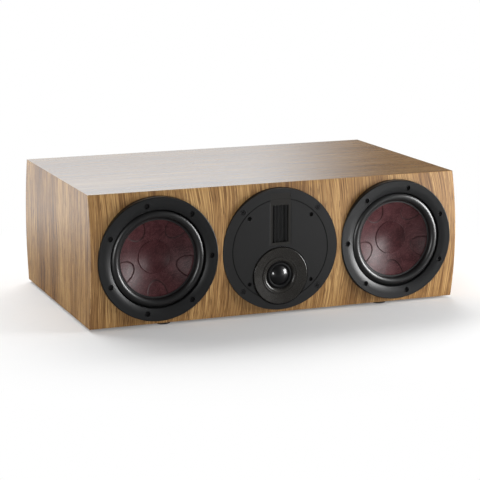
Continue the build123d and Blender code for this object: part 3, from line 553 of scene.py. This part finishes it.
def lay_metal(paint, shade, roughness):
    """Plated or turned metal with faint streaks."""
    streaks = paint.noise(paint.stretched(paint.position(), METAL_STREAKS))
    tone = 0.86 + streaks * 0.28
    paint.surface({
        "Base Color": paint.toned(tone, shade),
        "Metallic": 1.0,
        "Roughness": roughness + (streaks - 0.5) * 0.16,
    })


def lay_rubber(paint, shade, roughness, gloss=0.5):
    """Dull black rubber with a soft sheen."""
    position = paint.position()
    fine = paint.noise(position, 900.0, 3.0)
    dust = paint.noise(position, 60.0, 2.0)
    tone = 0.85 + dust * 0.3
    paint.surface({
        "Base Color": paint.toned(tone, shade),
        "Roughness": roughness + (fine - 0.5) * 0.12,
        "Specular IOR Level": gloss,
        "Normal": paint.bump(fine, 0.00005, 0.3),
    })


def lay_fibre_cone(paint, look, depth, centre, edge, slant):
    """Dark red paper pulp with wood fibres, shaded as a deeper dish by a slant at its edge, with
    shade painted along the slopes of its lobes.
    """
    position = paint.position()
    x, y, z = paint.split(position)
    aside = x - paint.math("SIGN", x) * abs(centre.x)
    above = z - centre.z
    dish = (aside * aside + above * above) * (math.tan(slant) / (2 * edge))
    lengthwise, behind, across = THREAD_WAVES
    threads = 0.0
    for number, angle in enumerate(FIBRE_ANGLES):
        settings = {"rotation_type": "Y_AXIS"}
        values = {"Vector": position, "Angle": math.radians(angle)}
        turned = paint.add("ShaderNodeVectorRotate", settings, values)
        drawn = paint.stretched(turned, (lengthwise, behind + number, across))
        strand = paint.rise(paint.noise(drawn, 1.0, 1.0, 0.25), *THREAD_EDGE)
        threads = strand if number == 0 else paint.math("MAXIMUM", threads, strand)
    cloud = paint.noise(position, 55.0, 3.0)
    # Where the lobes' slopes run: shade is painted there in dark red
    lobe_shade = paint.add("ShaderNodeAttribute", {"attribute_name": LOBE_SHADE}, output="Fac")
    body = paint.mix(paint.rise(cloud, 0.3, 0.75) * 0.25 * depth, look.pulp, look.fibre)
    shade = paint.mix(threads * 0.5 * depth, body, look.fibre)
    paint.surface({
        "Base Color": paint.mix(lobe_shade * 0.7, shade, LOBE_SHADE_RED),
        "Roughness": 0.44 - threads * 0.08 + (cloud - 0.5) * 0.12 + lobe_shade * 0.3,
        "Specular IOR Level": 0.06 + 0.14 * depth,
        "Normal": paint.bump(dish + (threads + cloud * 0.5) * 0.00003, 1.0),
        "Coat Weight": 0.07 * depth * (1 - lobe_shade),
        "Coat Roughness": 0.36,
    })


def lay_cloth(paint, shade, roughness, thread):
    """Woven cloth."""
    x, y, z = paint.split(paint.position())
    warp = paint.math("SINE", x * (math.tau / thread))
    weft = paint.math("SINE", (z + y) * (math.tau / thread))
    weave = warp * weft * 0.5 + 0.5
    tone = 0.8 + weave * 0.4
    paint.surface({
        "Base Color": paint.toned(tone, shade),
        "Roughness": roughness + weave * 0.08,
        "Normal": paint.bump(weave, thread * 0.12, 0.3),
    })


def lay_dome(paint, look, centre):
    """Doped cloth, glossy on the dome and dull on its roll."""
    bare = paint.rise(paint.away(centre), look.dome_radius - 0.8 * MM, look.dome_radius)
    weave = paint.noise(paint.position(), 3200.0, 2.0)
    tone = 0.7 + weave * 0.6
    paint.surface({
        "Base Color": paint.toned(tone, look.cloth),
        "Roughness": 0.42 + bare * 0.2,
        "Specular IOR Level": 0.25,
        "Normal": paint.bump(weave, 0.00003, 0.3),
        "Coat Weight": 0.8 * (1 - bare),
        "Coat Roughness": 0.07,
    })


def lay_board(paint, shade, roughness):
    """Bare wood board with chips."""
    chips = paint.noise(paint.position(), 320.0, 3.0, 0.6)
    darker = tuple(part * 0.6 for part in shade)
    paint.surface({
        "Base Color": paint.mix(paint.rise(chips, 0.35, 0.7), darker, shade),
        "Roughness": roughness + (chips - 0.5) * 0.2,
        "Normal": paint.bump(chips, 0.0002, 0.4),
    })


def lay_windings(paint, shade, pitch):
    """Enamelled wire wound in rows."""
    x, y, z = paint.split(paint.position())
    turns = paint.math("SINE", (z + y) * (math.tau / pitch))
    tone = 0.8 + turns * 0.2
    paint.surface({
        "Base Color": paint.toned(tone, shade),
        "Metallic": 1.0,
        "Roughness": 0.34 + turns * 0.08,
        "Normal": paint.bump(turns, pitch * 0.3, 0.6),
    })


# Meshes

# Clearance of the spider around its coil, and the widths of its flat glued lips
SPIDER_GAP = 0.1 * MM
SPIDER_INNER_LIP = 3.0 * MM
SPIDER_OUTER_LIP = 8.0 * MM


def add_piece(name, points, faces, material):
    """New object with smooth faces and sharp creases."""
    mesh = bpy.data.meshes.new(name)
    mesh.from_pydata([tuple(p) for p in points], [], faces)
    mesh.shade_smooth()
    mesh.set_sharp_from_angle(angle=CREASE)
    mesh.materials.append(material)
    piece = bpy.data.objects.new(name, mesh)
    bpy.context.scene.collection.objects.link(piece)
    return piece


def turned_piece(name, profile, centre, material, segments, relief=None):
    """Closed solid turned about the front-to-back line through a centre from (radius, depth)."""
    angles = np.arange(segments) * math.tau / segments
    points = []
    rows = []
    for index, (radius, depth) in enumerate(profile):
        if radius < 1e-7:
            rows.append([len(points)])
            points.append((centre.x, depth, centre.z))
            continue
        rows.append(list(range(len(points), len(points) + segments)))
        lift = relief(index, radius, angles) if relief else np.zeros(segments)
        for angle, raised in zip(angles, lift):
            x = centre.x + radius * math.cos(angle)
            z = centre.z + radius * math.sin(angle)
            points.append((x, depth + raised, z))
    faces = []
    for first, second in zip(rows, rows[1:] + rows[:1]):
        for number in range(segments):
            after = (number + 1) % segments
            if len(first) == 1 and len(second) == 1:
                break
            if len(first) == 1:
                faces.append((first[0], second[number], second[after]))
            elif len(second) == 1:
                faces.append((first[number], second[0], first[after]))
            else:
                faces.append((first[number], second[number], second[after], first[after]))
    return add_piece(name, points, faces, material)


def smooth_step(values):
    """Ease from nought to one."""
    held = np.clip(values, 0.0, 1.0)
    return held * held * (3.0 - 2.0 * held)


def flex(piece, centre, inner, outer):
    """Bake a piece's place into its mesh and weigh its points from one radius to another; nothing
    uses the weights.
    """
    start = (centre.x + outer, centre.y, centre.z)
    end = (centre.x + inner, centre.y, centre.z)
    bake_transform(piece)
    points = np.array([v.co for v in piece.data.vertices])
    radii = np.hypot(points[:, 0] - centre.x, points[:, 2] - centre.z)
    weights = smooth_step((outer - radii) / (outer - inner))


def spaced(start, end, total):
    """Evenly spaced values, both ends included."""
    return [start + (end - start) * step / (total - 1) for step in range(total)]


def woofer_sizes(side, look):
    """Radii and depths of a woofer's soft pieces, from the frame."""
    name = side + "_woofer_"
    edge = reach(name + "cone")
    lip_front = back_of(name + "surround") - look.skin
    return {
        "centre": middle(name + "trim_ring"),
        "edge": edge,
        "lip": edge - look.cone_lip,
        "roll_in": edge - look.skin,
        "roll": lip_front - front_of(name + "surround"),
        "rubber_out": reach(name + "surround"),
        "lip_front": lip_front,
        "rim": front_of(name + "cone"),
        "neck_depth": back_of(name + "cone") - look.cone_thickness,
    }


def cone_depth(size, look, radius):
    """Depth of the cone's face at a radius."""
    if radius >= size["lip"]:
        return size["rim"]
    part = (radius - look.neck) / (size["lip"] - look.neck)
    straight = size["neck_depth"] + (size["rim"] - size["neck_depth"]) * part
    return straight + look.cone_bowl * 4 * part * (1 - part)


def lobe_steps(size, look, radii, angles):
    """How far into a lobe's slope each point lies, nought at its outline and one at its foot."""
    centre = size["lip"] + look.lobe_set
    deepest = np.full(len(angles), -1e3)
    for lobe in range(look.lobe_count):
        first = look.lobe_turn + lobe * math.tau / look.lobe_count
        along = (radii * np.cos(angles - first) - centre) / look.lobe_reach
        beside = radii * np.sin(angles - first) / look.lobe_half
        inside = (1.0 - np.hypot(along, beside)) * look.lobe_half / look.lobe_edge
        deepest = np.maximum(deepest, inside)
    return deepest


def lobe_relief(size, look, faces):
    """Function that presses the lobes into the first rows, which are the cone's face."""
    fade = 0.8 * MM

    def relief(index, radius, angles):
        if index >= faces:
            return np.zeros(len(angles))
        near_lip = smooth_step((size["lip"] - radius) / fade)
        return smooth_step(lobe_steps(size, look, radius, angles)) * look.lobe_depth * near_lip

    return relief


def mark_lobe_shade(cone, size, look):
    """Note where the slopes of the lobes run, for the shade that the cone's finish paints there."""
    points = np.array([v.co for v in cone.data.vertices])
    across = points[:, 0] - size["centre"].x
    above = points[:, 2] - size["centre"].z
    steps = lobe_steps(size, look, np.hypot(across, above), np.arctan2(above, across))
    lines = 1.0 - np.clip(np.abs(steps - 0.5) / 0.9, 0.0, 1.0)
    attribute = cone.data.attributes.new(LOBE_SHADE, "FLOAT", "POINT")
    attribute.data.foreach_set("value", lines.astype(np.float32))


def cone_profile(size, look):
    """Face of the cone from neck to edge, then its back."""
    radii = spaced(look.neck, size["lip"], CONE_STEPS) + [size["lip"] + 0.4 * MM, size["edge"]]
    face = [(r, cone_depth(size, look, r)) for r in radii]
    back = [(r, d + look.cone_thickness) for r, d in reversed(face)]
    return face + back[:3] + back[3::6] + back[-1:]


def cap_profile(size, look, radius, front, dish):
    """Dished dust cap with a rounded lip that stands on the cone."""
    drop = dish - front
    bow = (radius**2 + drop**2) / (2 * drop)
    lip = 0.5 * MM
    foot = radius - 1.0 * MM
    glue = 0.05 * MM

    def depth(r):
        return dish - bow + math.sqrt(bow**2 - r**2)

    face = [(r, depth(r)) for r in spaced(0.0, radius - lip, 28)]
    start = math.pi / 2
    crest = face[-1][1]
    edge = [
        (radius - lip + lip * math.cos(a), crest + lip - lip * math.sin(a))
        for a in spaced(start * 0.8, 0.0, 5)
    ]
    rest = [(r, cone_depth(size, look, r) - glue) for r in (radius, foot)]
    back = [(r, depth(r) + look.cap_skin) for r in spaced(foot, 0.0, 10)]
    return face + edge + rest + back


def surround_profile(size, look):
    """Half roll between its two glued lips."""
    front = size["lip_front"]
    back = front + look.skin
    roll = size["roll"]
    roll_middle = size["roll_in"] + roll
    foot = 0.7 * MM
    shoulder = 0.10
    roll_out = roll_middle + roll
    outside = [(roll_out + foot * 2, front), (roll_out + foot * 0.5, front - foot * 0.25)]
    arch = []
    for angle in spaced(shoulder, math.pi - shoulder, 41):
        arch.append((roll_middle + roll * math.cos(angle), front - roll * math.sin(angle)))
    inner_end = size["lip"] + 0.3 * MM
    roll_in = size["roll_in"]
    inside = [(roll_in - foot * 0.4, front - foot * 0.2), (roll_in - foot * 1.6, front)]
    face = [(size["rubber_out"], front)] + outside + arch + inside + [(inner_end, front)]
    under = [(inner_end, back), (size["edge"], back), (size["edge"], front)]
    hollow = roll - look.skin
    for angle in spaced(math.pi, 0.0, 25):
        under.append((roll_middle + hollow * math.cos(angle), front - hollow * math.sin(angle)))
    under += [(roll_middle + hollow, back), (size["rubber_out"], back)]
    return face + under


def spider_profile(look, inner, start, end, outer, back):
    """Corrugated cloth ring."""
    front = back - look.spider_skin
    face = [(inner, front)]
    for part in spaced(0.0, 1.0, 16 * look.spider_waves + 1):
        wave = look.spider_wave * math.sin(part * look.spider_waves * math.tau)
        face.append((start + (end - start) * part, front - wave))
    face.append((outer, front))
    return face + [(r, d + look.spider_skin) for r, d in reversed(face)]


def dome_profile(look, lip, front):
    """Dome, its roll and the glued lip, then the back."""
    radius = look.dome_radius
    bow = (radius**2 + look.dome_height**2) / (2 * look.dome_height)
    top = front - look.dome_height
    roll = look.roll_width / 2
    face = [(r, top + bow - math.sqrt(bow**2 - r**2)) for r in spaced(0.0, radius, 36)]
    for angle in spaced(math.pi * 0.96, math.pi * 0.04, 17):
        face.append((radius + roll + roll * math.cos(angle), front - roll * math.sin(angle)))
    face += [(radius + look.roll_width + 0.3 * MM, front), (lip, front)]
    return face + [(r, d + look.dome_skin) for r, d in reversed(face)]


# Operators, one for each group of like pieces


class SPEAKER_OT_cabinet(bpy.types.Operator):
    """Veneer the cabinet and set the rubber of its feet"""

    bl_idname = "speaker.cabinet"
    bl_label = "Cabinet"

    def execute(self, context):
        look = context.scene.speaker_veneer
        panels = ["front_baffle", "rear_panel", "top_panel", "bottom_panel"]
        panels += [side + "_side_panel" for side in SIDES]
        dress(panels, finish("walnut_veneer", lay_veneer, look))
        dress(["feet"], finish("foot_rubber", lay_rubber, (0.020, 0.020, 0.020), 0.6))
        return {"FINISHED"}


class SPEAKER_OT_inside(bpy.types.Operator):
    """Finish the braces, wadding and crossover inside the cabinet"""

    bl_idname = "speaker.inside"
    bl_label = "Inside of the cabinet"

    def execute(self, context):
        dress(["braces"], finish("bare_board", lay_board, (0.50, 0.36, 0.22), 0.75))
        dress(["wadding"], finish("wadding_wool", lay_cloth, (0.72, 0.72, 0.69), 0.85, 0.004))
        dress(["crossover_board"], finish("board_laminate", lay_plastic, (0.03, 0.12, 0.05), 0.45))
        dress(["crossover_spacers"], finish("spacer_nylon", lay_plastic, (0.62, 0.61, 0.57), 0.5))
        dress(["crossover_coils"], finish("coil_wire", lay_windings, (0.70, 0.33, 0.16), 0.0012))
        film = finish("capacitor_film", lay_plastic, (0.33, 0.05, 0.04), 0.3)
        dress(["crossover_capacitors"], film)
        cement = finish("resistor_cement", lay_board, (0.70, 0.68, 0.62), 0.8)
        dress(["crossover_resistors"], cement)
        return {"FINISHED"}


class SPEAKER_OT_rims(bpy.types.Operator):
    """Finish the trim rings, gaskets and driver screws"""

    bl_idname = "speaker.rims"
    bl_label = "Trim rings and screws"

    def execute(self, context):
        look = context.scene.speaker_woofer
        for side in SIDES:
            node = side + "_woofer_trim_ring"
            values = (look.ring, 0.38, middle(node), look.ring_slant)
            dress([node], finish(side + "_satin_ring", lay_ring, *values))
        dress(["driver_gaskets"], finish("gasket_foam", lay_rubber, (0.012, 0.012, 0.012), 0.9))
        dress(["driver_screws"], finish("screw_black", lay_plastic, (0.006, 0.006, 0.0065), 0.5))
        return {"FINISHED"}


class SPEAKER_OT_motors(bpy.types.Operator):
    """Finish the baskets, magnets and coils of the drivers"""

    bl_idname = "speaker.motors"
    bl_label = "Frames and motors"

    def execute(self, context):
        names = [side + "_woofer_" for side in SIDES]
        cast = finish("cast_frame", lay_plastic, (0.030, 0.030, 0.031), 0.5, 0.0002)
        dress([n + "frame" for n in names], cast)
        plated = [n + part for n in names for part in ("top_plate", "yoke")]
        plated += ["tweeter_top_plate", "tweeter_yoke"]
        dress(plated, finish("plated_steel", lay_metal, (0.56, 0.57, 0.58), 0.35))
        magnets = [n + "magnet" for n in names] + ["tweeter_magnet", "ribbon_magnets"]
        dress(magnets, finish("ferrite", lay_board, (0.05, 0.05, 0.053), 0.7))
        coils = [n + "voice_coil" for n in names] + ["tweeter_voice_coil"]
        dress(coils, finish("coil_copper", lay_windings, (0.66, 0.38, 0.22), 0.0006))
        return {"FINISHED"}


class SPEAKER_OT_cones(bpy.types.Operator):
    """Make the lobed fibre cones and their dished dust caps"""

    bl_idname = "speaker.cones"
    bl_label = "Cones and dust caps"

    def execute(self, context):
        look = context.scene.speaker_woofer
        centre = middle("right_woofer_trim_ring")
        edge = reach("right_woofer_cone")
        pulp = finish("fibre_cone", lay_fibre_cone, look, 1.0, centre, edge, look.cone_slant)
        edge = reach("right_woofer_dust_cap")
        dish = finish("fibre_cap", lay_fibre_cone, look, 0.7, centre, edge, look.cap_slant)
        for side in SIDES:
            size = woofer_sizes(side, look)
            profile = cone_profile(size, look)
            relief = lobe_relief(size, look, CONE_STEPS + 2)
            name = side + "_cone_pulp"
            cone = turned_piece(name, profile, size["centre"], pulp, FINE_TURN, relief)
            mark_lobe_shade(cone, size, look)
            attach(cone, side + "_cone")
            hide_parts(side + "_woofer_cone")
            node = side + "_woofer_dust_cap"
            bottom = back_of(node) - look.cap_skin
            profile = cap_profile(size, look, reach(node), front_of(node), bottom)
            cap = turned_piece(side + "_cap_pulp", profile, size["centre"], dish, SMALL_TURN)
            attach(cap, side + "_cone")
            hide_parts(node)
        return {"FINISHED"}


class SPEAKER_OT_surrounds(bpy.types.Operator):
    """Make the rubber surrounds and cloth spiders"""

    bl_idname = "speaker.surrounds"
    bl_label = "Surrounds and spiders"

    def execute(self, context):
        look = context.scene.speaker_woofer
        rubber = finish("surround_rubber", lay_rubber, look.rubber, 0.35, 0.75)
        cloth = finish("spider_cloth", lay_cloth, (0.42, 0.29, 0.10), 0.8, 0.0008)
        for side in SIDES:
            size = woofer_sizes(side, look)
            profile = surround_profile(size, look)
            name = side + "_rubber_roll"
            roll = turned_piece(name, profile, size["centre"], rubber, PLAIN_TURN)
            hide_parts(side + "_woofer_surround")
            roll_out = size["roll_in"] + 2 * size["roll"]
            flex(roll, size["centre"], size["roll_in"], roll_out)
            node = side + "_woofer_spider"
            inner = look.neck + SPIDER_GAP
            outer = reach(node)
            start = inner + SPIDER_INNER_LIP
            end = outer - SPIDER_OUTER_LIP
            back = back_of(node) - look.spider_wave
            profile = spider_profile(look, inner, start, end, outer, back)
            name = side + "_cloth_spider"
            spider = turned_piece(name, profile, size["centre"], cloth, SMALL_TURN)
            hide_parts(node)
            flex(spider, size["centre"], start, end)
        return {"FINISHED"}


class SPEAKER_OT_tweeter(bpy.types.Operator):
    """Finish the tweeter plate, waveguide and ribbon"""

    bl_idname = "speaker.tweeter"
    bl_label = "Tweeter plate"

    def execute(self, context):
        look = context.scene.speaker_tweeter
        node = "tweeter_plate"
        slot = middle("ribbon_grid")
        dress([node], finish("plate_plastic", lay_plate, look, middle(node), slot))
        guide = finish("guide_plastic", lay_plastic, look.guide, 0.27, gloss=0.55)
        dress(["tweeter_waveguide"], guide)
        # Near black: the screws' own black, darkened further as painted shade in their deep holes
        dress(["tweeter_screws"], finish("module_screw", lay_plastic, (0.003, 0.003, 0.003), 0.6))
        # The bars' sides take the paler colour, as painted light
        steel = finish("dark_steel", lay_bars, (0.0105, 0.0105, 0.0105), (0.065, 0.065, 0.065))
        dress(["ribbon_grid", "ribbon_yoke"], steel)
        film = finish("ribbon_film", lay_plastic, (0.028, 0.028, 0.028), 0.5)
        dress(["ribbon_diaphragm"], film)
        return {"FINISHED"}


class SPEAKER_OT_dome(bpy.types.Operator):
    """Make the coated cloth dome"""

    bl_idname = "speaker.dome"
    bl_label = "Dome"

    def execute(self, context):
        look = context.scene.speaker_tweeter
        node = "tweeter_dome"
        centre = middle(node)
        cloth = finish("dome_cloth", lay_dome, look, centre)
        profile = dome_profile(look, reach(node), back_of(node) - look.dome_skin)
        dome = turned_piece("dome_cloth_skin", profile, centre, cloth, SMALL_TURN)
        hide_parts(node)
        flex(dome, centre, look.dome_radius, look.dome_radius + look.roll_width)
        return {"FINISHED"}


class SPEAKER_OT_rear(bpy.types.Operator):
    """Finish the ports, terminal cup and binding posts"""

    bl_idname = "speaker.rear"
    bl_label = "Ports and terminals"

    def execute(self, context):
        moulded = finish("port_plastic", lay_plastic, (0.018, 0.018, 0.019), 0.5)
        dress(["reflex_ports", "terminal_cup"], moulded)
        dress(["terminal_screws"], finish("cup_screw", lay_metal, (0.05, 0.05, 0.05), 0.4))
        gold = finish("gold_plate", lay_metal, (0.83, 0.58, 0.22), 0.18)
        posts = [p + part for p in ("positive_", "negative_") for part in ("post", "washer")]
        dress(posts + ["post_nuts"], gold)
        dress(["positive_knob"], finish("knob_red", lay_plastic, (0.36, 0.012, 0.012), 0.28))
        dress(["negative_knob"], finish("knob_black", lay_plastic, (0.014, 0.014, 0.015), 0.28))
        return {"FINISHED"}


# Stage

FLOOR_REACH = 14.0
SENSOR_WIDTH = 36.0
# Place, width and height of each lamp, and whether gloss mirrors it
SOFTBOXES = {
    "back": ((-0.35, 1.7, 2.1), (4.5, 1.3), False),
    "right": ((1.13, -0.68, 0.29), (0.58, 0.56), True),
    "front": ((-1.5, -2.0, 0.35), (0.5, 0.6), True),
    "left": ((-2.6, 0.3, 0.4), (0.8, 0.7), False),
}
# Widths over which the floor's zones fade into each other
SIDE_FADE = 0.35
DEPTH_FADE = 0.3
# Directions between which the mirrored backdrop starts behind, ends on its right and grows
# brighter upwards, and between which the room at the right grows brighter
BACKDROP_START = (0.2, 0.6)
BACKDROP_END = (0.360, 0.440)
BACKDROP_RISE = (0.150, 0.185)
ROOM_RISE = (0.30, 0.55)


def lay_floor(paint, look):
    """Pale floor: shadows near the speaker, plain white far from it, and in gloss a painted shade
    in front, save at the right.
    """
    x, y, z = paint.split(paint.position())
    away = paint.math("SQRT", x * x + y * y)
    speckle = paint.noise(paint.position(), 40.0, 2.0)
    seen, glossy, clear = paint.rays()
    shade = look.floor_shade - 0.01 + speckle * 0.02
    rightward = paint.rise(x, look.floor_side, look.floor_side + SIDE_FADE)
    beside = rightward * (1 - paint.rise(y, 0.0, DEPTH_FADE))
    # Painted shade: gloss sees the floor darker, except in front on the right
    gloss_shade = (look.floor_shade - look.floor_mirrored) * (1 - beside)
    shade = shade - gloss_shade * glossy
    matt = paint.add("ShaderNodeBsdfDiffuse", None, {"Color": paint.join(shade, shade, shade)})
    white = paint.add("ShaderNodeEmission", None, {"Strength": 1.0})
    behind = paint.rise(away, 0.36, 1.0) * paint.rise(y, -0.05, 0.2)
    paler = 0.15 + 0.85 * paint.rise(away, look.floor_near, look.floor_far)
    paint.blended((seen + clear) * paler + glossy * behind, matt, white)


def lay_world(paint, look):
    """White for the camera, a tinted backdrop and a dim room for gloss, even light for the rest."""
    direction = paint.add("ShaderNodeTexCoord", output="Generated")
    x, y, z = paint.split(direction)
    behind = paint.rise(y, *BACKDROP_START)
    leftward = 1 - 0.97 * paint.rise(x, *BACKDROP_END)
    higher = look.backdrop_strength * (0.73 + 0.89 * paint.rise(z, *BACKDROP_RISE))
    lit = paint.toned(higher, look.backdrop)
    rightward = paint.rise(x, *ROOM_RISE) * (1 - paint.rise(y, -0.2, 0.1))
    dim = look.room * (0.5 + 2.0 * rightward)
    mirrored = paint.mix(behind * leftward, paint.join(dim, dim, dim), lit)
    seen, glossy, clear = paint.rays()
    strength = look.ambient + (1 - look.ambient) * (seen + clear + glossy)
    shade = paint.mix(glossy, (1.0, 1.0, 1.0), mirrored)
    background = paint.add("ShaderNodeBackground", None, {"Color": shade, "Strength": strength})
    paint.add("ShaderNodeOutputWorld", None, {"Surface": background})


def add_softbox(name, spot, target, size, watts, mirrored):
    """Rectangular lamp aimed at a point, which gloss mirrors or not."""
    lamp = bpy.data.lights.new(name, "AREA")
    lamp.shape = "RECTANGLE"
    lamp.size, lamp.size_y = size
    lamp.energy = watts
    box = bpy.data.objects.new(name, lamp)
    box.location = spot
    box.rotation_euler = (Vector(target) - Vector(spot)).to_track_quat("-Z", "Y").to_euler()
    box.visible_camera = False
    box.visible_glossy = mirrored
    bpy.context.scene.collection.objects.link(box)


class SPEAKER_OT_stage(bpy.types.Operator):
    """Set the floor, lamps, world and camera"""

    bl_idname = "speaker.stage"
    bl_label = "Stage"

    def execute(self, context):
        look = context.scene.speaker_stage
        scene = context.scene
        turns = ((-1, -1), (1, -1), (1, 1), (-1, 1))
        corners = [(x * FLOOR_REACH, y * FLOOR_REACH, 0) for x, y in turns]
        paper = finish("paper_floor", lay_floor, look)
        floor = add_piece("floor", corners, [(0, 1, 2, 3)], paper)
        low, high = CAD_BOX
        target = (low + high) / 2
        for name, (spot, size, mirrored) in SOFTBOXES.items():
            watts = getattr(look, name + "_power")
            add_softbox(name + "_softbox", spot, target, size, watts, mirrored)
        world = bpy.data.worlds.new("studio")
        world.use_nodes = True
        lay_world(Paint(world.node_tree), look)
        scene.world = world
        lens = bpy.data.cameras.new("camera")
        lens.lens = look.lens
        lens.sensor_width = SENSOR_WIDTH
        lens.shift_y = look.shift
        camera = bpy.data.objects.new("camera", lens)
        camera.location = look.camera_place
        camera.rotation_euler = (math.pi / 2 + look.camera_pitch, 0.0, -look.camera_yaw)
        scene.collection.objects.link(camera)
        scene.camera = camera
        scene.view_settings.view_transform = "Standard"
        return {"FINISHED"}


class SPEAKER_PT_sidebar(bpy.types.Panel):
    """Lists the steps that dress the speaker"""

    bl_idname = "SPEAKER_PT_sidebar"
    bl_label = "Center channel speaker"
    bl_space_type = "VIEW_3D"
    bl_region_type = "UI"
    bl_category = "Speaker"

    def draw(self, context):
        for step in STEPS:
            self.layout.operator(step.bl_idname)


GROUPS = {
    "speaker_veneer": SpeakerVeneer,
    "speaker_woofer": SpeakerWoofer,
    "speaker_tweeter": SpeakerTweeter,
    "speaker_stage": SpeakerStage,
}
STEPS = (
    SPEAKER_OT_cabinet,
    SPEAKER_OT_inside,
    SPEAKER_OT_rims,
    SPEAKER_OT_motors,
    SPEAKER_OT_cones,
    SPEAKER_OT_surrounds,
    SPEAKER_OT_tweeter,
    SPEAKER_OT_dome,
    SPEAKER_OT_rear,
    SPEAKER_OT_stage,
)


def register():
    """Make the properties, operators and panel known."""
    for name, group in GROUPS.items():
        bpy.utils.register_class(group)
        setattr(bpy.types.Scene, name, PointerProperty(type=group))
    for item in (*STEPS, SPEAKER_PT_sidebar):
        bpy.utils.register_class(item)


def unregister():
    """Take them out again."""
    for item in (SPEAKER_PT_sidebar, *reversed(STEPS)):
        bpy.utils.unregister_class(item)
    for name, group in GROUPS.items():
        delattr(bpy.types.Scene, name)
        bpy.utils.unregister_class(group)


def main():
    """Dress the speaker step by step."""
    register()
    for step in STEPS:
        group, name = step.bl_idname.split(".")
        getattr(getattr(bpy.ops, group), name)()


if __name__ == "__main__":
    main()
